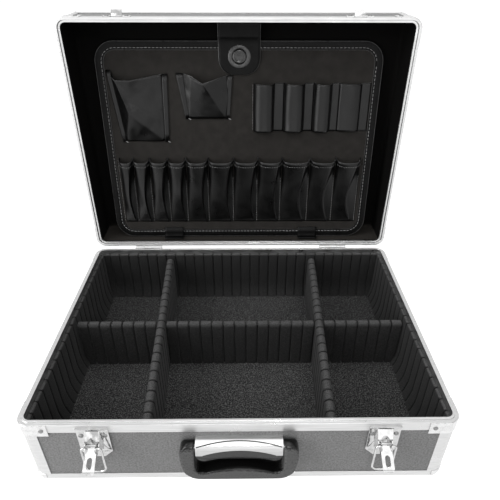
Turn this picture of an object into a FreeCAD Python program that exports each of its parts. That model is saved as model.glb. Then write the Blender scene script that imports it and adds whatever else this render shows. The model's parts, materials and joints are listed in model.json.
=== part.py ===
import FreeCAD, Part
import math
import os
import Sketcher

# Driving dimensions of the flight case, in millimetres. The origin is the middle of the
# underside of the base, +X runs along the width, -Y is the front and +Z is up.
DIMENSIONS = {
    # Outer case
    "case_width": 455.0,
    "case_depth": 330.0,
    "base_height": 94.0,
    "lid_height": 58.0,
    "parting_gap": 0.5,
    "corner_radius": 13.5,
    # Boards and extruded frame
    "frame_skin": 1.0,
    "panel_thickness": 4.0,
    "rim_depth": 12.0,
    "rim_width": 6.0,
    "base_web": 2.0,
    "lid_web": 4.0,
    "rim_lip": 6.0,
    "tongue_width": 2.6,
    "tongue_height": 1.5,
    "rebate_width": 3.0,
    "rebate_depth": 2.4,
    "edge_height": 10.0,
    "edge_leg": 16.0,
    "edge_radius": 3.0,
    "post_leg": 5.5,
    "cap_proud": 0.6,
    "cap_round": 4.0,
    "bracket_thickness": 0.9,
    "bracket_leg": 18.5,
    "bracket_drop": 16.5,
    "bracket_top": 0.4,
    "rivet_radius": 2.6,
    "rivet_height": 1.1,
    "bracket_rivet_inset": 25.8,
    "bracket_rivet_drop": 8.0,
    # Foam lining and dividers of the base
    "floor_liner": 3.0,
    "liner_thickness": 5.0,
    "liner_foot": 6.0,
    "liner_foot_height": 30.0,
    "liner_drop": 6.3,
    "groove_pitch": 15.0,
    "groove_width": 1.5,
    "groove_depth": 2.5,
    "divider_thickness": 11.0,
    "divider_drop": 12.0,
    "divider_chamfer": 3.0,
    "cross_drop": 14.0,
    "cross_back": 5.0,
    "divider_gap": 0.8,
    "divider_skew": 7.5,
    # Latches
    "latch_inset": 77.5,
    "latch_half_width": 16.5,
    "latch_foot_half": 7.5,
    "latch_bottom_drop": 50.0,
    "latch_shoulder_drop": 41.0,
    "latch_drop": 3.5,
    "latch_plate": 1.2,
    "latch_lip": 1.6,
    "slot_half": 6.4,
    "slot_drop": 6.2,
    "hood_top_drop": 8.2,
    "hood_reach": 7.0,
    "hood_low_drop": 17.0,
    "hood_arch_half": 4.6,
    "hood_arch_rise": 4.2,
    "hood_sheet": 1.1,
    "cheek_inner": 6.5,
    "cheek_thickness": 1.2,
    "cheek_round": 4.2,
    "cheek_foot_drop": 38.0,
    "lever_pivot_out": 7.0,
    "lever_pivot_drop": 23.5,
    "lever_pin_radius": 1.2,
    "running_gap": 0.05,
    "lever_half": 5.9,
    "lever_ear": 1.2,
    "lever_heel": 2.8,
    "lever_belly": 3.1,
    "lever_length": 24.5,
    "lever_plate_low": 2.5,
    "lever_plate": 1.6,
    "lever_curl": 3.4,
    "lever_ear_length": 15.0,
    "lever_slot_half": 2.6,
    "lever_slot_start": 11.5,
    "lever_slot_length": 11.5,
    "lever_nose": 4.0,
    "bail_along": 3.4,
    "bail_above": 6.0,
    "ear_margin": 2.4,
    "bail_radius": 1.3,
    "bail_half": 10.2,
    "bail_length": 38.7,
    "bail_corner": 6.4,
    "bail_turn": 2.6,
    "bail_end": 4.6,
    "keeper_half": 17.0,
    "keeper_low": 1.6,
    "keeper_high": 9.2,
    "keeper_waist": 5.4,
    "keeper_lobe": 8.0,
    "keeper_plate": 1.2,
    "hook_half": 6.8,
    "hook_seat": 8.1,
    "hook_sheet": 1.5,
    "hook_out": 7.9,
    "hook_lip": 9.55,
    "hook_lip_thickness": 1.3,
    "latch_rivet_side": 12.3,
    "latch_rivet_drop": 15.5,
    # Handle
    "handle_half": 45.3,
    "handle_pivot_out": 6.8,
    "handle_pivot_drop": 27.0,
    "rod_radius": 2.0,
    "rod_half": 57.0,
    "bar_back_rise": 6.5,
    "bar_brow_out": 2.0,
    "bar_brow_rise": 6.0,
    "bar_round": 8.5,
    "bar_front_out": 11.0,
    "bar_front_fall": 8.5,
    "bar_chin_out": 11.2,
    "bar_chin_fall": 14.5,
    "bar_back_fall": 16.0,
    "cover_sheet": 1.0,
    "cover_arch_half": 38.0,
    "cover_arch_fall": 8.0,
    "cover_arch_rise": 7.5,
    "arm_round": 7.4,
    "arm_inner": 46.2,
    "arm_outer": 62.0,
    "grip_back": 3.5,
    "grip_front": 20.0,
    "grip_fall": 44.0,
    "grip_round_front": 7.0,
    "grip_round_back": 5.0,
    "grip_shoulder_fall": 23.0,
    "grip_side_fall": 28.0,
    "grip_side_half": 37.0,
    "grip_arch_rise": 6.5,
    "loop_side_fall": 35.7,
    "loop_side_half": 51.7,
    "loop_side_radius": 51.0,
    "loop_corner_fall": 42.9,
    "loop_corner_half": 38.6,
    "loop_corner_radius": 18.0,
    "loop_shoulder": 12.4,
    # Hinges
    "hinge_inset": 80.5,
    "hinge_half": 21.0,
    "hinge_out": 3.0,
    "knuckle_radius": 2.7,
    "hinge_pin_radius": 1.5,
    "knuckle_half": 6.7,
    "knuckle_gap": 0.6,
    "hinge_leaf": 1.2,
    "hinge_leaf_height": 18.0,
    "hinge_clear": 3.4,
    "knuckle_web": 1.35,
    "stop_gap": 0.3,
    "stop_drop": 9.5,
    "stop_top": 1.75,
    "hinge_rivet_side": 14.0,
    "hinge_rivet_reach": 13.5,
    # Lid lining and tool pallet
    "lining": 1.0,
    "lining_drop": 7.2,
    "pallet_side_gap": 23.5,
    "pallet_head_gap": 27.0,
    "pallet_thickness": 4.0,
    "pallet_radius": 28.0,
    "pallet_foot_depth": 33.65,
    "pallet_seat": 1.0,
    "pallet_clear": 0.35,
    "binding_width": 12.0,
    "binding_thickness": 0.8,
    "sheet": 1.2,
    "pocket_low": 26.0,
    "pocket_depth": 14.0,
    "pocket_side_gap": 16.2,
    "loop_depth": 14.0,
    "loop_start": 20.0,
    "loop_side_gap": 13.0,
    "large_depth": 18.0,
    "large_foot_depth": 3.0,
    "strap_half": 28.0,
    "strap_bend_drop": 3.0,
    "strap_round": 20.0,
    "strap_flange": 12.0,
    "strap_stand": 9.0,
    "snap_drop": 17.0,
    "snap_ring_radius": 15.5,
    "snap_ring_height": 1.0,
    "snap_radius": 9.0,
    "snap_height": 2.2,
    "tab_half": 15.0,
    "tab_high": 16.0,
    "tab_flange": 10.0,
}

# Places given as a share: of half the case width, of half the pallet width (across), of the
# pallet's height (up), and of a row's length for the pockets and loops in it.
DIVIDER_SHARE = 0.4615
TAB_SHARE = 0.54
STRAP_FOOT_SHARE = 0.852
POCKET_TOP_SHARE = 0.447
POCKET_WIDTH_SHARES = (0.058, 0.067, 0.075, 0.075, 0.091, 0.106, 0.101, 0.099, 0.117, 0.107, 0.104)
LOOP_FOOT_SHARE = 0.584
LOOP_TOP_SHARE = 0.814
LOOP_WIDTH_SHARES = (0.261, 0.255, 0.218, 0.266)
LARGE_LEFT_FOOT_SHARES = (0.859, 0.530, 0.533)
LARGE_LEFT_TOP_SHARES = (0.922, 0.510, 0.866)
LARGE_RIGHT_FOOT_SHARES = (0.382, 0.081, 0.646)
LARGE_RIGHT_TOP_SHARES = (0.452, 0.045, 0.852)

QUARTER_TURN = 90.0
HALF_TURN = 180.0
LEVER_FALL = 30.0
WIRE_SIDES = 8
BEND_CHORDS = 3
RIVET_SIDES = 10
SNAP_SIDES = 24

doc = FreeCAD.newDocument("flight_case")
dims = doc.addObject("Spreadsheet::Sheet", "dims")


class Dim:
    """A length with both its present value and the sheet formula that gives it."""

    def __init__(self, value, text):
        self.value = float(value)
        self.text = text

    def __add__(self, other):
        other = as_dim(other)
        return Dim(self.value + other.value, "(" + self.text + " + " + other.text + ")")

    def __sub__(self, other):
        other = as_dim(other)
        return Dim(self.value - other.value, "(" + self.text + " - " + other.text + ")")

    def __mul__(self, factor):
        return Dim(self.value * factor, "(" + self.text + " * " + repr(float(factor)) + ")")

    def __truediv__(self, factor):
        return Dim(self.value / factor, "(" + self.text + " / " + repr(float(factor)) + ")")

    def __neg__(self):
        return Dim(-self.value, "(-1.0 * " + self.text + ")")


def as_dim(value):
    if isinstance(value, Dim):
        return value
    return Dim(value, repr(float(value)))


class Sizes:
    """The named dimensions, one attribute each."""


s = Sizes()
row = 1
for size_name, size_value in DIMENSIONS.items():
    dims.set("A" + str(row), size_name)
    dims.set("B" + str(row), str(size_value))
    dims.setAlias("B" + str(row), size_name)
    setattr(s, size_name, Dim(size_value, "dims." + size_name))
    row += 1
doc.recompute()

ZERO = Dim(0.0, "0.0")
X_AXIS = FreeCAD.Vector(1, 0, 0)
Y_AXIS = FreeCAD.Vector(0, 1, 0)
Z_AXIS = FreeCAD.Vector(0, 0, 1)
NO_SHIFT = FreeCAD.Vector(0, 0, 0)
nodes = []


def bind(item, prop, length):
    item.setExpression(prop, as_dim(length).text)


def new_body(name):
    return doc.addObject("PartDesign::Body", name)


def origin_plane(body, role):
    for feature in body.Origin.OriginFeatures:
        if feature.Role == role:
            return feature
    raise ValueError(role)


def point_of(corner):
    return FreeCAD.Vector(corner[0].value, corner[1].value, 0)


def arc_between(start, stop, radius, turn):
    """Arc of under half a turn; turn is 1 for counter-clockwise and -1 for clockwise."""
    chord = stop - start
    half = chord.Length / 2
    rise = math.sqrt(max(radius * radius - half * half, 0.0))
    left = FreeCAD.Vector(-chord.y, chord.x, 0)
    left.normalize()
    centre = (start + stop) / 2 + left * (rise * turn)
    from_angle = math.atan2(start.y - centre.y, start.x - centre.x)
    to_angle = math.atan2(stop.y - centre.y, stop.x - centre.x)
    circle = Part.Circle(centre, Z_AXIS, radius)
    if turn > 0:
        return Part.ArcOfCircle(circle, from_angle, to_angle)
    return Part.ArcOfCircle(circle, to_angle, from_angle)


def hold_point(sketch, piece, end, corner):
    for kind, axis_line, length in (("DistanceX", -2, corner[0]), ("DistanceY", -1, corner[1])):
        if length.text == ZERO.text:
            sketch.addConstraint(Sketcher.Constraint("PointOnObject", piece, end, axis_line))
        else:
            index = sketch.addConstraint(Sketcher.Constraint(kind, -1, 1, piece, end, length.value))
            sketch.setExpression("Constraints[" + str(index) + "]", length.text)


def draw_path(sketch, corners, closed):
    """Lines and arcs through the corners; a corner with a radius and a turn starts an arc."""
    count = len(corners)
    last = count if closed else count - 1
    pieces = []
    for i in range(last):
        start = point_of(corners[i])
        stop = point_of(corners[(i + 1) % count])
        if len(corners[i]) == 2:
            pieces.append((sketch.addGeometry(Part.LineSegment(start, stop), False), 1, 2))
        else:
            radius, turn = corners[i][2], corners[i][3]
            index = sketch.addGeometry(arc_between(start, stop, radius.value, turn), False)
            pieces.append((index, 1, 2) if turn > 0 else (index, 2, 1))
    for i in range(last):
        piece, start_end, stop_end = pieces[i]
        if closed or i + 1 < last:
            follower = pieces[(i + 1) % last]
            sketch.addConstraint(Sketcher.Constraint("Coincident", piece, stop_end, follower[0], follower[1]))
        else:
            hold_point(sketch, piece, stop_end, corners[count - 1])
        hold_point(sketch, piece, start_end, corners[i])
        if len(corners[i]) > 2:
            index = sketch.addConstraint(Sketcher.Constraint("Radius", piece, corners[i][2].value))
            sketch.setExpression("Constraints[" + str(index) + "]", corners[i][2].text)


def draw_circle(sketch, x, y, radius):
    centre = FreeCAD.Vector(x.value, y.value, 0)
    piece = sketch.addGeometry(Part.Circle(centre, Z_AXIS, radius.value), False)
    hold_point(sketch, piece, 3, (x, y))
    index = sketch.addConstraint(Sketcher.Constraint("Radius", piece, radius.value))
    sketch.setExpression("Constraints[" + str(index) + "]", radius.text)


def new_sketch(body, role, loops=(), circles=(), lift=ZERO, path=None):
    sketch = body.newObject("Sketcher::SketchObject", body.Name + "_sketch")
    sketch.AttachmentSupport = [(origin_plane(body, role), "")]
    sketch.MapMode = "FlatFace"
    if lift.text != ZERO.text:
        sketch.setExpression("AttachmentOffset.Base.z", lift.text)
    for loop in loops:
        draw_path(sketch, loop, True)
    for circle in circles:
        draw_circle(sketch, circle[0], circle[1], circle[2])
    if path is not None:
        draw_path(sketch, path, False)
    return sketch


def extrude(body, kind, sketch, length, reverse=False):
    feature = body.newObject("PartDesign::" + kind, body.Name + "_" + kind.lower())
    feature.Profile = sketch
    bind(feature, "Length", length)
    feature.Reversed = reverse
    body.Tip = feature
    return feature


def pad(body, role, loops, length, lift=ZERO, circles=()):
    return extrude(body, "Pad", new_sketch(body, role, loops, circles, lift), length)


def pocket(body, role, loops, length, lift=ZERO, circles=(), reverse=False):
    return extrude(body, "Pocket", new_sketch(body, role, loops, circles, lift), length, reverse)


def turned_cut(body, loop, x, y):
    """Cut a profile, drawn as radius and height, all round the upright line at (x, y)."""
    sketch = new_sketch(body, "XZ_Plane", [loop], lift=-y)
    bind(sketch, "AttachmentOffset.Base.x", x)
    feature = body.newObject("PartDesign::Groove", body.Name + "_groove")
    feature.Profile = sketch
    feature.ReferenceAxis = (sketch, ["V_Axis"])
    feature.Angle = HALF_TURN * 2
    body.Tip = feature
    return feature


def dress(body, kind, chosen, prop, length):
    """Fillet or chamfer the edges of the body that the function chosen picks."""
    doc.recompute()
    base = body.Tip
    names = []
    for i, edge in enumerate(base.Shape.Edges):
        if chosen(edge):
            names.append("Edge" + str(i + 1))
    feature = body.newObject("PartDesign::" + kind, body.Name + "_" + kind.lower())
    feature.Base = (base, names)
    bind(feature, prop, length)
    body.Tip = feature
    return feature


def rectangle(x_low, y_low, x_high, y_high):
    return [(x_low, y_low), (x_high, y_low), (x_high, y_high), (x_low, y_high)]


def rounded(half_x, half_y, r):
    return [
        (r - half_x, -half_y),
        (half_x - r, -half_y, r, 1),
        (half_x, r - half_y),
        (half_x, half_y - r, r, 1),
        (half_x - r, half_y),
        (r - half_x, half_y, r, 1),
        (-half_x, half_y - r),
        (-half_x, r - half_y, r, 1),
    ]


def bend(x, y, radius, start):
    """Points of a quarter bend about (x, y), counter-clockwise from the angle start."""
    points = []
    for i in range(BEND_CHORDS + 1):
        angle = math.radians(start + QUARTER_TURN * i / BEND_CHORDS)
        points.append((x + radius * math.cos(angle), y + radius * math.sin(angle)))
    return points


def arch_radius(half, rise, half_name, rise_name):
    """Radius of the arc that spans twice half and rises by rise at its middle."""
    value = (half.value * half.value + rise.value * rise.value) / (2 * rise.value)
    half_text = "dims." + half_name
    rise_text = "dims." + rise_name
    square = "(" + half_text + " * " + half_text + " + " + rise_text + " * " + rise_text + ")"
    return Dim(value, "(" + square + " / (2.0 * " + rise_text + "))")


def box(name, low, high):
    solid = doc.addObject("Part::Box", name)
    for prop, a, b in zip(("Length", "Width", "Height"), low, high):
        bind(solid, prop, b - a)
    for axis, a in zip("xyz", low):
        bind(solid, "Placement.Base." + axis, a)
    return solid


def stand_at(solid, x, y, z, direction):
    """Stand a primitive at a point, with its height along one axis."""
    turn = FreeCAD.Rotation(Z_AXIS, direction)
    solid.Placement = FreeCAD.Placement(FreeCAD.Vector(x.value, y.value, z.value), turn)
    for axis, a in zip("xyz", (x, y, z)):
        bind(solid, "Placement.Base." + axis, a)
    return solid


def rod(name, x, y, z, direction, radius, length):
    solid = doc.addObject("Part::Cylinder", name)
    bind(solid, "Radius", radius)
    bind(solid, "Height", length)
    return stand_at(solid, x, y, z, direction)


def disc(name, x, y, z, direction, radius, height, sides):
    """A small head or plate, its rim drawn as flats."""
    solid = doc.addObject("Part::Prism", name)
    solid.Polygon = sides
    bind(solid, "Circumradius", radius)
    bind(solid, "Height", height)
    return stand_at(solid, x, y, z, direction)


def rivet(x, y, z, direction):
    return disc("rivet", x, y, z, direction, s.rivet_radius, s.rivet_height, RIVET_SIDES)


def mirrored(source, normal):
    item = doc.addObject("Part::Mirroring", source.Name + "_mirror")
    item.Source = source
    item.Normal = normal
    return item


def cut(base, tool):
    item = doc.addObject("Part::Cut", base.Name + "_cut")
    item.Base = base
    item.Tool = tool
    return item


def group(items):
    item = doc.addObject("Part::Compound", items[0].Name + "_group")
    item.Links = items
    return item


def four_corners(source):
    across = mirrored(source, X_AXIS)
    return group([source, across, mirrored(source, Y_AXIS), mirrored(across, Y_AXIS)])


def node(label, item, placement=None):
    """Name the finished piece; a piece of the lid or of the pallet is set in its place."""
    if placement is not None:
        if item.TypeId in ("PartDesign::Body", "Part::Compound"):
            item.Placement = placement
        else:
            item = group([item])
            item.Placement = placement
    item.Label = label
    nodes.append(item)
    return item


half_width = s.case_width / 2
half_depth = s.case_depth / 2
inner_inset = s.frame_skin + s.panel_thickness
hinge_y = half_depth + s.hinge_out
parting = s.base_height + s.parting_gap / 2
panel_face = s.frame_skin - half_depth

# The lid is drawn rim upward with its hinge side at -Y, then turned over and swung open.
hinge_point = FreeCAD.Vector(0, hinge_y.value, parting.value)
swing = FreeCAD.Placement(NO_SHIFT, FreeCAD.Rotation(X_AXIS, -QUARTER_TURN), hinge_point)
lid_top = s.lid_height + s.base_height + s.parting_gap
turned_over = FreeCAD.Placement(
    FreeCAD.Vector(0, 0, lid_top.value), FreeCAD.Rotation(X_AXIS, HALF_TURN)
)
lid_place = swing.multiply(turned_over)


# Boards, extruded frame, corners and rim of one half of the case, drawn rim upward.
def ring(body, outer, inner, low, height):
    loops = [
        rounded(half_width - outer, half_depth - outer, s.corner_radius - outer),
        rounded(half_width - inner, half_depth - inner, s.corner_radius - inner),
    ]
    return pad(body, "XY_Plane", loops, height, low)


def corner_section(outer, leg, inner, skin):
    """Corner section at +X and +Y: round outside with two thin legs, square inside."""
    r = s.corner_radius
    near_x = half_width - r
    near_y = half_depth - r
    return [
        (near_x - leg, half_depth - outer),
        (near_x - leg, half_depth - skin),
        (near_x, half_depth - skin),
        (near_x, half_depth - inner),
        (half_width - inner, half_depth - inner),
        (half_width - inner, near_y),
        (half_width - skin, near_y),
        (half_width - skin, near_y - leg),
        (half_width - outer, near_y - leg),
        (half_width - outer, near_y, r - outer, 1),
        (near_x, half_depth - outer),
    ]


def plain_corner(outer, inner):
    r = s.corner_radius
    near_x = half_width - r
    near_y = half_depth - r
    return [
        (near_x, half_depth - outer),
        (near_x, half_depth - inner),
        (half_width - inner, half_depth - inner),
        (half_width - inner, near_y),
        (half_width - outer, near_y, r - outer, 1),
    ]


def cap_rounding():
    """What the rounding takes off under a corner cap, as radius and height about the corner's middle."""
    outer = s.corner_radius + s.cap_proud
    r = s.cap_round
    corners = [(outer - r, -r), (outer + r, -r), (outer + r, r)]
    for x, z in bend(outer - r, r, r, -QUARTER_TURN)[::-1]:
        corners.append((x, z))
    return corners


def edge_profile(name, along_x):
    """L-shaped bottom edge, round outside and bevelled inside, at the +Y or the +X side."""
    outer = half_depth if along_x else half_width
    reach = (half_width if along_x else half_depth) - s.corner_radius
    r = s.edge_radius
    section = [
        (outer - s.edge_leg, ZERO),
        (outer - r, ZERO, r, 1),
        (outer, r),
        (outer, s.edge_height),
        (outer - s.frame_skin, s.edge_height),
        (outer - s.frame_skin, r),
        (outer - r, s.frame_skin),
        (outer - s.edge_leg, s.frame_skin),
    ]
    body = new_body(name)
    if along_x:
        pad(body, "YZ_Plane", [section], reach * 2, -reach)
    else:
        pad(body, "XZ_Plane", [section], reach * 2, -reach)
    return body


def make_shell(prefix, flat_name, front_side, height, web, is_base, placement):
    wall_low = s.edge_radius
    wall_high = height - web
    near_x = half_width - s.corner_radius
    near_y = half_depth - s.corner_radius

    flat = new_body(prefix + "_flat")
    in_x = half_width - inner_inset
    in_y = half_depth - inner_inset
    pad(flat, "XY_Plane", [rectangle(-in_x, -in_y, in_x, in_y)], s.panel_thickness, s.frame_skin)
    leg_x = half_width - s.edge_leg
    leg_y = half_depth - s.edge_leg
    pad(flat, "XY_Plane", [rectangle(-leg_x, -leg_y, leg_x, leg_y)], s.frame_skin)
    node(prefix + "_" + flat_name, flat, placement)

    face_y = half_depth - s.frame_skin
    face_x = half_width - s.frame_skin
    low_wall = box(prefix + "_low", (-near_x, -face_y, wall_low), (near_x, -in_y, wall_high))
    high_wall = box(prefix + "_high", (-near_x, in_y, wall_low), (near_x, face_y, wall_high))
    if front_side < 0:
        node(prefix + "_front_panel", low_wall, placement)
        node(prefix + "_back_panel", high_wall, placement)
    else:
        node(prefix + "_back_panel", low_wall, placement)
        node(prefix + "_front_panel", high_wall, placement)
    left = box(prefix + "_left", (-face_x, -near_y, wall_low), (-in_x, near_y, wall_high))
    right = box(prefix + "_right", (in_x, -near_y, wall_low), (face_x, near_y, wall_high))
    node(prefix + "_left_panel", left, placement)
    node(prefix + "_right_panel", right, placement)

    rim = new_body(prefix + "_rim")
    if is_base:
        ring(rim, ZERO, s.rim_width, height - web, web)
        ring(rim, s.rim_width - s.tongue_width, s.rim_width, height, s.tongue_height)
    else:
        ring(rim, ZERO, s.rim_width, height - web, web - s.rebate_depth)
        ring(rim, ZERO, s.rebate_width, height - s.rebate_depth, s.rebate_depth)
    ring(rim, ZERO, s.frame_skin, height - s.rim_depth, s.rim_depth - web)
    ring(rim, inner_inset, s.rim_width, height - s.rim_lip, s.rim_lip - web)
    node(prefix + "_rim", rim, placement)

    post = new_body(prefix + "_post")
    low = s.edge_height
    high = height - s.rim_depth
    pad(post, "XY_Plane", [corner_section(ZERO, s.post_leg, inner_inset, s.frame_skin)], high - low, low)
    node(prefix + "_corner_posts", four_corners(post), placement)

    long_edge = edge_profile(prefix + "_long_edge", True)
    short_edge = edge_profile(prefix + "_short_edge", False)
    edges = [long_edge, mirrored(long_edge, Y_AXIS), short_edge, mirrored(short_edge, X_AXIS)]
    node(prefix + "_edge_profiles", group(edges), placement)

    cap = new_body(prefix + "_cap")
    pad(cap, "XY_Plane", [plain_corner(-s.cap_proud, inner_inset)], s.edge_height)
    turned_cut(cap, cap_rounding(), near_x, near_y)
    node(prefix + "_corner_caps", four_corners(cap), placement)

    bracket = new_body(prefix + "_bracket")
    skirt = [
        (near_x - s.bracket_leg, half_depth + s.bracket_thickness),
        (near_x - s.bracket_leg, half_depth),
        (near_x, half_depth, s.corner_radius, -1),
        (half_width, near_y),
        (half_width, near_y - s.bracket_leg),
        (half_width + s.bracket_thickness, near_y - s.bracket_leg),
        (half_width + s.bracket_thickness, near_y, s.corner_radius + s.bracket_thickness, 1),
        (near_x, half_depth + s.bracket_thickness),
    ]
    skirt_low = height - s.bracket_drop
    pad(bracket, "XY_Plane", [skirt], s.bracket_drop - s.bracket_top, skirt_low)
    node(prefix + "_rim_brackets", four_corners(bracket), placement)

    rivet_up = height - s.bracket_rivet_drop
    rivets = []
    for sign in (-1, 1):
        direction = FreeCAD.Vector(0, sign, 0)
        y = (half_depth + s.bracket_thickness) * sign
        for side in (-1, 1):
            x = (half_width - s.bracket_rivet_inset) * side
            rivets.append(rivet(x, y, rivet_up, direction))
        direction = FreeCAD.Vector(sign, 0, 0)
        x = (half_width + s.bracket_thickness) * sign
        for side in (-1, 1):
            y = (half_depth - s.bracket_rivet_inset) * side
            rivets.append(rivet(x, y, rivet_up, direction))
    return rivets


base_rivets = make_shell("base", "bottom_panel", -1, s.base_height, s.base_web, True, None)
lid_rivets = make_shell("lid", "top_panel", 1, s.lid_height, s.lid_web, False, lid_place)

# Foam lining of the base: a floor sheet and four walls whose feet curve inward.
floor_low = inner_inset
floor_high = floor_low + s.floor_liner
liner_x = half_width - inner_inset
liner_y = half_depth - inner_inset
floor_sheet = box("floor_sheet", (-liner_x, -liner_y, floor_low), (liner_x, liner_y, floor_high))
node("floor_liner", floor_sheet)
liner_high = s.base_height - s.liner_drop
foot_high = floor_high + s.liner_foot_height
foot_square = s.liner_foot.value * s.liner_foot.value
foot_rise_square = s.liner_foot_height.value * s.liner_foot_height.value
foot_radius = Dim(
    (foot_square + foot_rise_square) / (2 * s.liner_foot.value),
    "((dims.liner_foot * dims.liner_foot + dims.liner_foot_height * dims.liner_foot_height)"
    " / (2.0 * dims.liner_foot))",
)


def liner_section(outer):
    """Section of a wall liner at the positive side, standing at the distance outer."""
    inner = outer - s.liner_thickness
    return [
        (outer, floor_high),
        (outer, liner_high),
        (inner, liner_high),
        (inner, foot_high, foot_radius, -1),
        (inner - s.liner_foot, floor_high),
    ]


def liner_wall(name, along_x, grooved):
    """Foam wall at +Y (along X) or at +X (along Y), with saw cuts where grooved."""
    body = new_body(name)
    outer = liner_y if along_x else liner_x
    reach = liner_x if along_x else liner_y
    role = "YZ_Plane" if along_x else "XZ_Plane"
    pad(body, role, [liner_section(outer)], reach * 2, -reach)
    if not grooved:
        return body
    inner = outer - s.liner_thickness
    span = reach - s.liner_thickness - s.liner_foot
    count = int(span.value // s.groove_pitch.value)
    start = s.groove_pitch * (-count)
    low_corner = inner - s.groove_depth
    cut_loop = rectangle(low_corner, foot_high, inner + s.groove_depth, liner_high + s.groove_depth)
    first = extrude(
        body, "Pocket", new_sketch(body, role, [cut_loop], (), start - s.groove_width / 2), s.groove_width, True
    )
    comb = body.newObject("PartDesign::LinearPattern", body.Name + "_comb")
    comb.Originals = [first]
    axis_role = "X_Axis" if along_x else "Y_Axis"
    comb.Direction = (origin_plane(body, axis_role), [""])
    comb.Reversed = not along_x
    bind(comb, "Length", s.groove_pitch * (2 * count))
    comb.Occurrences = 2 * count + 1
    body.Tip = comb
    return body


back_liner = liner_wall("back_liner", True, True)
node("back_wall_liner", back_liner)
node("front_wall_liner", group([mirrored(back_liner, Y_AXIS)]))
plain_back = liner_wall("plain_back", True, False)
plain_front = mirrored(plain_back, Y_AXIS)
right_liner = cut(cut(liner_wall("right_liner", False, True), plain_back), plain_front)
node("right_wall_liner", right_liner)
node("left_wall_liner", group([mirrored(right_liner, X_AXIS)]))

# Dividers: two long boards standing one groove askew and three short boards between.
long_reach = half_depth - inner_inset - s.liner_thickness - s.divider_gap
divider_middle = half_width * DIVIDER_SHARE


def is_top_edge(edge):
    box_of = edge.BoundBox
    return box_of.ZMin > foot_high.value and box_of.ZLength < s.running_gap.value


def long_divider(label, side):
    body = new_body(label)
    high = s.base_height - s.divider_drop
    outline = [
        (s.liner_foot - long_reach, floor_high),
        (long_reach - s.liner_foot, floor_high, foot_radius, 1),
        (long_reach, foot_high),
        (long_reach, high),
        (-long_reach, high),
        (-long_reach, foot_high, foot_radius, 1),
    ]
    pad(body, "YZ_Plane", [outline], s.divider_thickness, -(s.divider_thickness / 2))
    dress(body, "Chamfer", is_long_top, "Size", s.divider_chamfer)
    skew = math.degrees(math.atan2(s.divider_skew.value, long_reach.value)) * -side
    middle = FreeCAD.Vector(divider_middle.value * side, 0, 0)
    node(label, body, FreeCAD.Placement(middle, FreeCAD.Rotation(Z_AXIS, skew)))


def is_long_top(edge):
    return is_top_edge(edge) and edge.BoundBox.YLength > s.divider_thickness.value * 2


def is_cross_top(edge):
    return is_top_edge(edge) and edge.BoundBox.XLength > s.divider_thickness.value * 2


long_divider("left_divider", -1)
long_divider("right_divider", 1)

cross_high = s.base_height - s.cross_drop
cross_wall = half_width - inner_inset - s.liner_thickness - s.divider_gap
cross_side = divider_middle + s.divider_thickness / 2 + s.divider_gap
cross_inner = divider_middle - s.divider_thickness / 2 - s.divider_gap
side_outline = [
    (cross_side, floor_high),
    (cross_wall - s.liner_foot, floor_high, foot_radius, 1),
    (cross_wall, foot_high),
    (cross_wall, cross_high),
    (cross_side, cross_high),
]
middle_outline = rectangle(-cross_inner, floor_high, cross_inner, cross_high)
cross_lift = -(s.cross_back + s.divider_thickness / 2)


def cross_divider(name, outline):
    body = new_body(name)
    pad(body, "XZ_Plane", [outline], s.divider_thickness, cross_lift)
    dress(body, "Chamfer", is_cross_top, "Size", s.divider_chamfer)
    return body


right_cross = cross_divider("right_cross", side_outline)
node("cross_divider_right", right_cross)
node("cross_divider_left", group([mirrored(right_cross, X_AXIS)]))
node("cross_divider_middle", cross_divider("middle_cross", middle_outline))

# Toggle latches. Each is drawn about its own middle with the front face of the rim at y = 0,
# so that a reach outward is a length along -Y.
latch_high = s.base_height - s.latch_drop
latch_low = s.base_height - s.latch_bottom_drop
latch_shoulder = s.base_height - s.latch_shoulder_drop
latch_middle = half_width - s.latch_inset
lever_out = s.lever_pivot_out
lever_up = s.base_height - s.lever_pivot_drop
pin_hole = s.lever_pin_radius + s.running_gap
fall = math.radians(LEVER_FALL)
bail_out = Dim(
    lever_out.value + s.bail_along.value * math.cos(fall) + s.bail_above.value * math.sin(fall),
    "(dims.lever_pivot_out + dims.bail_along * " + repr(math.cos(fall))
    + " + dims.bail_above * " + repr(math.sin(fall)) + ")",
)
bail_up = Dim(
    lever_up.value - s.bail_along.value * math.sin(fall) + s.bail_above.value * math.cos(fall),
    "(" + lever_up.text + " - dims.bail_along * " + repr(math.sin(fall))
    + " + dims.bail_above * " + repr(math.cos(fall)) + ")",
)


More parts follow.
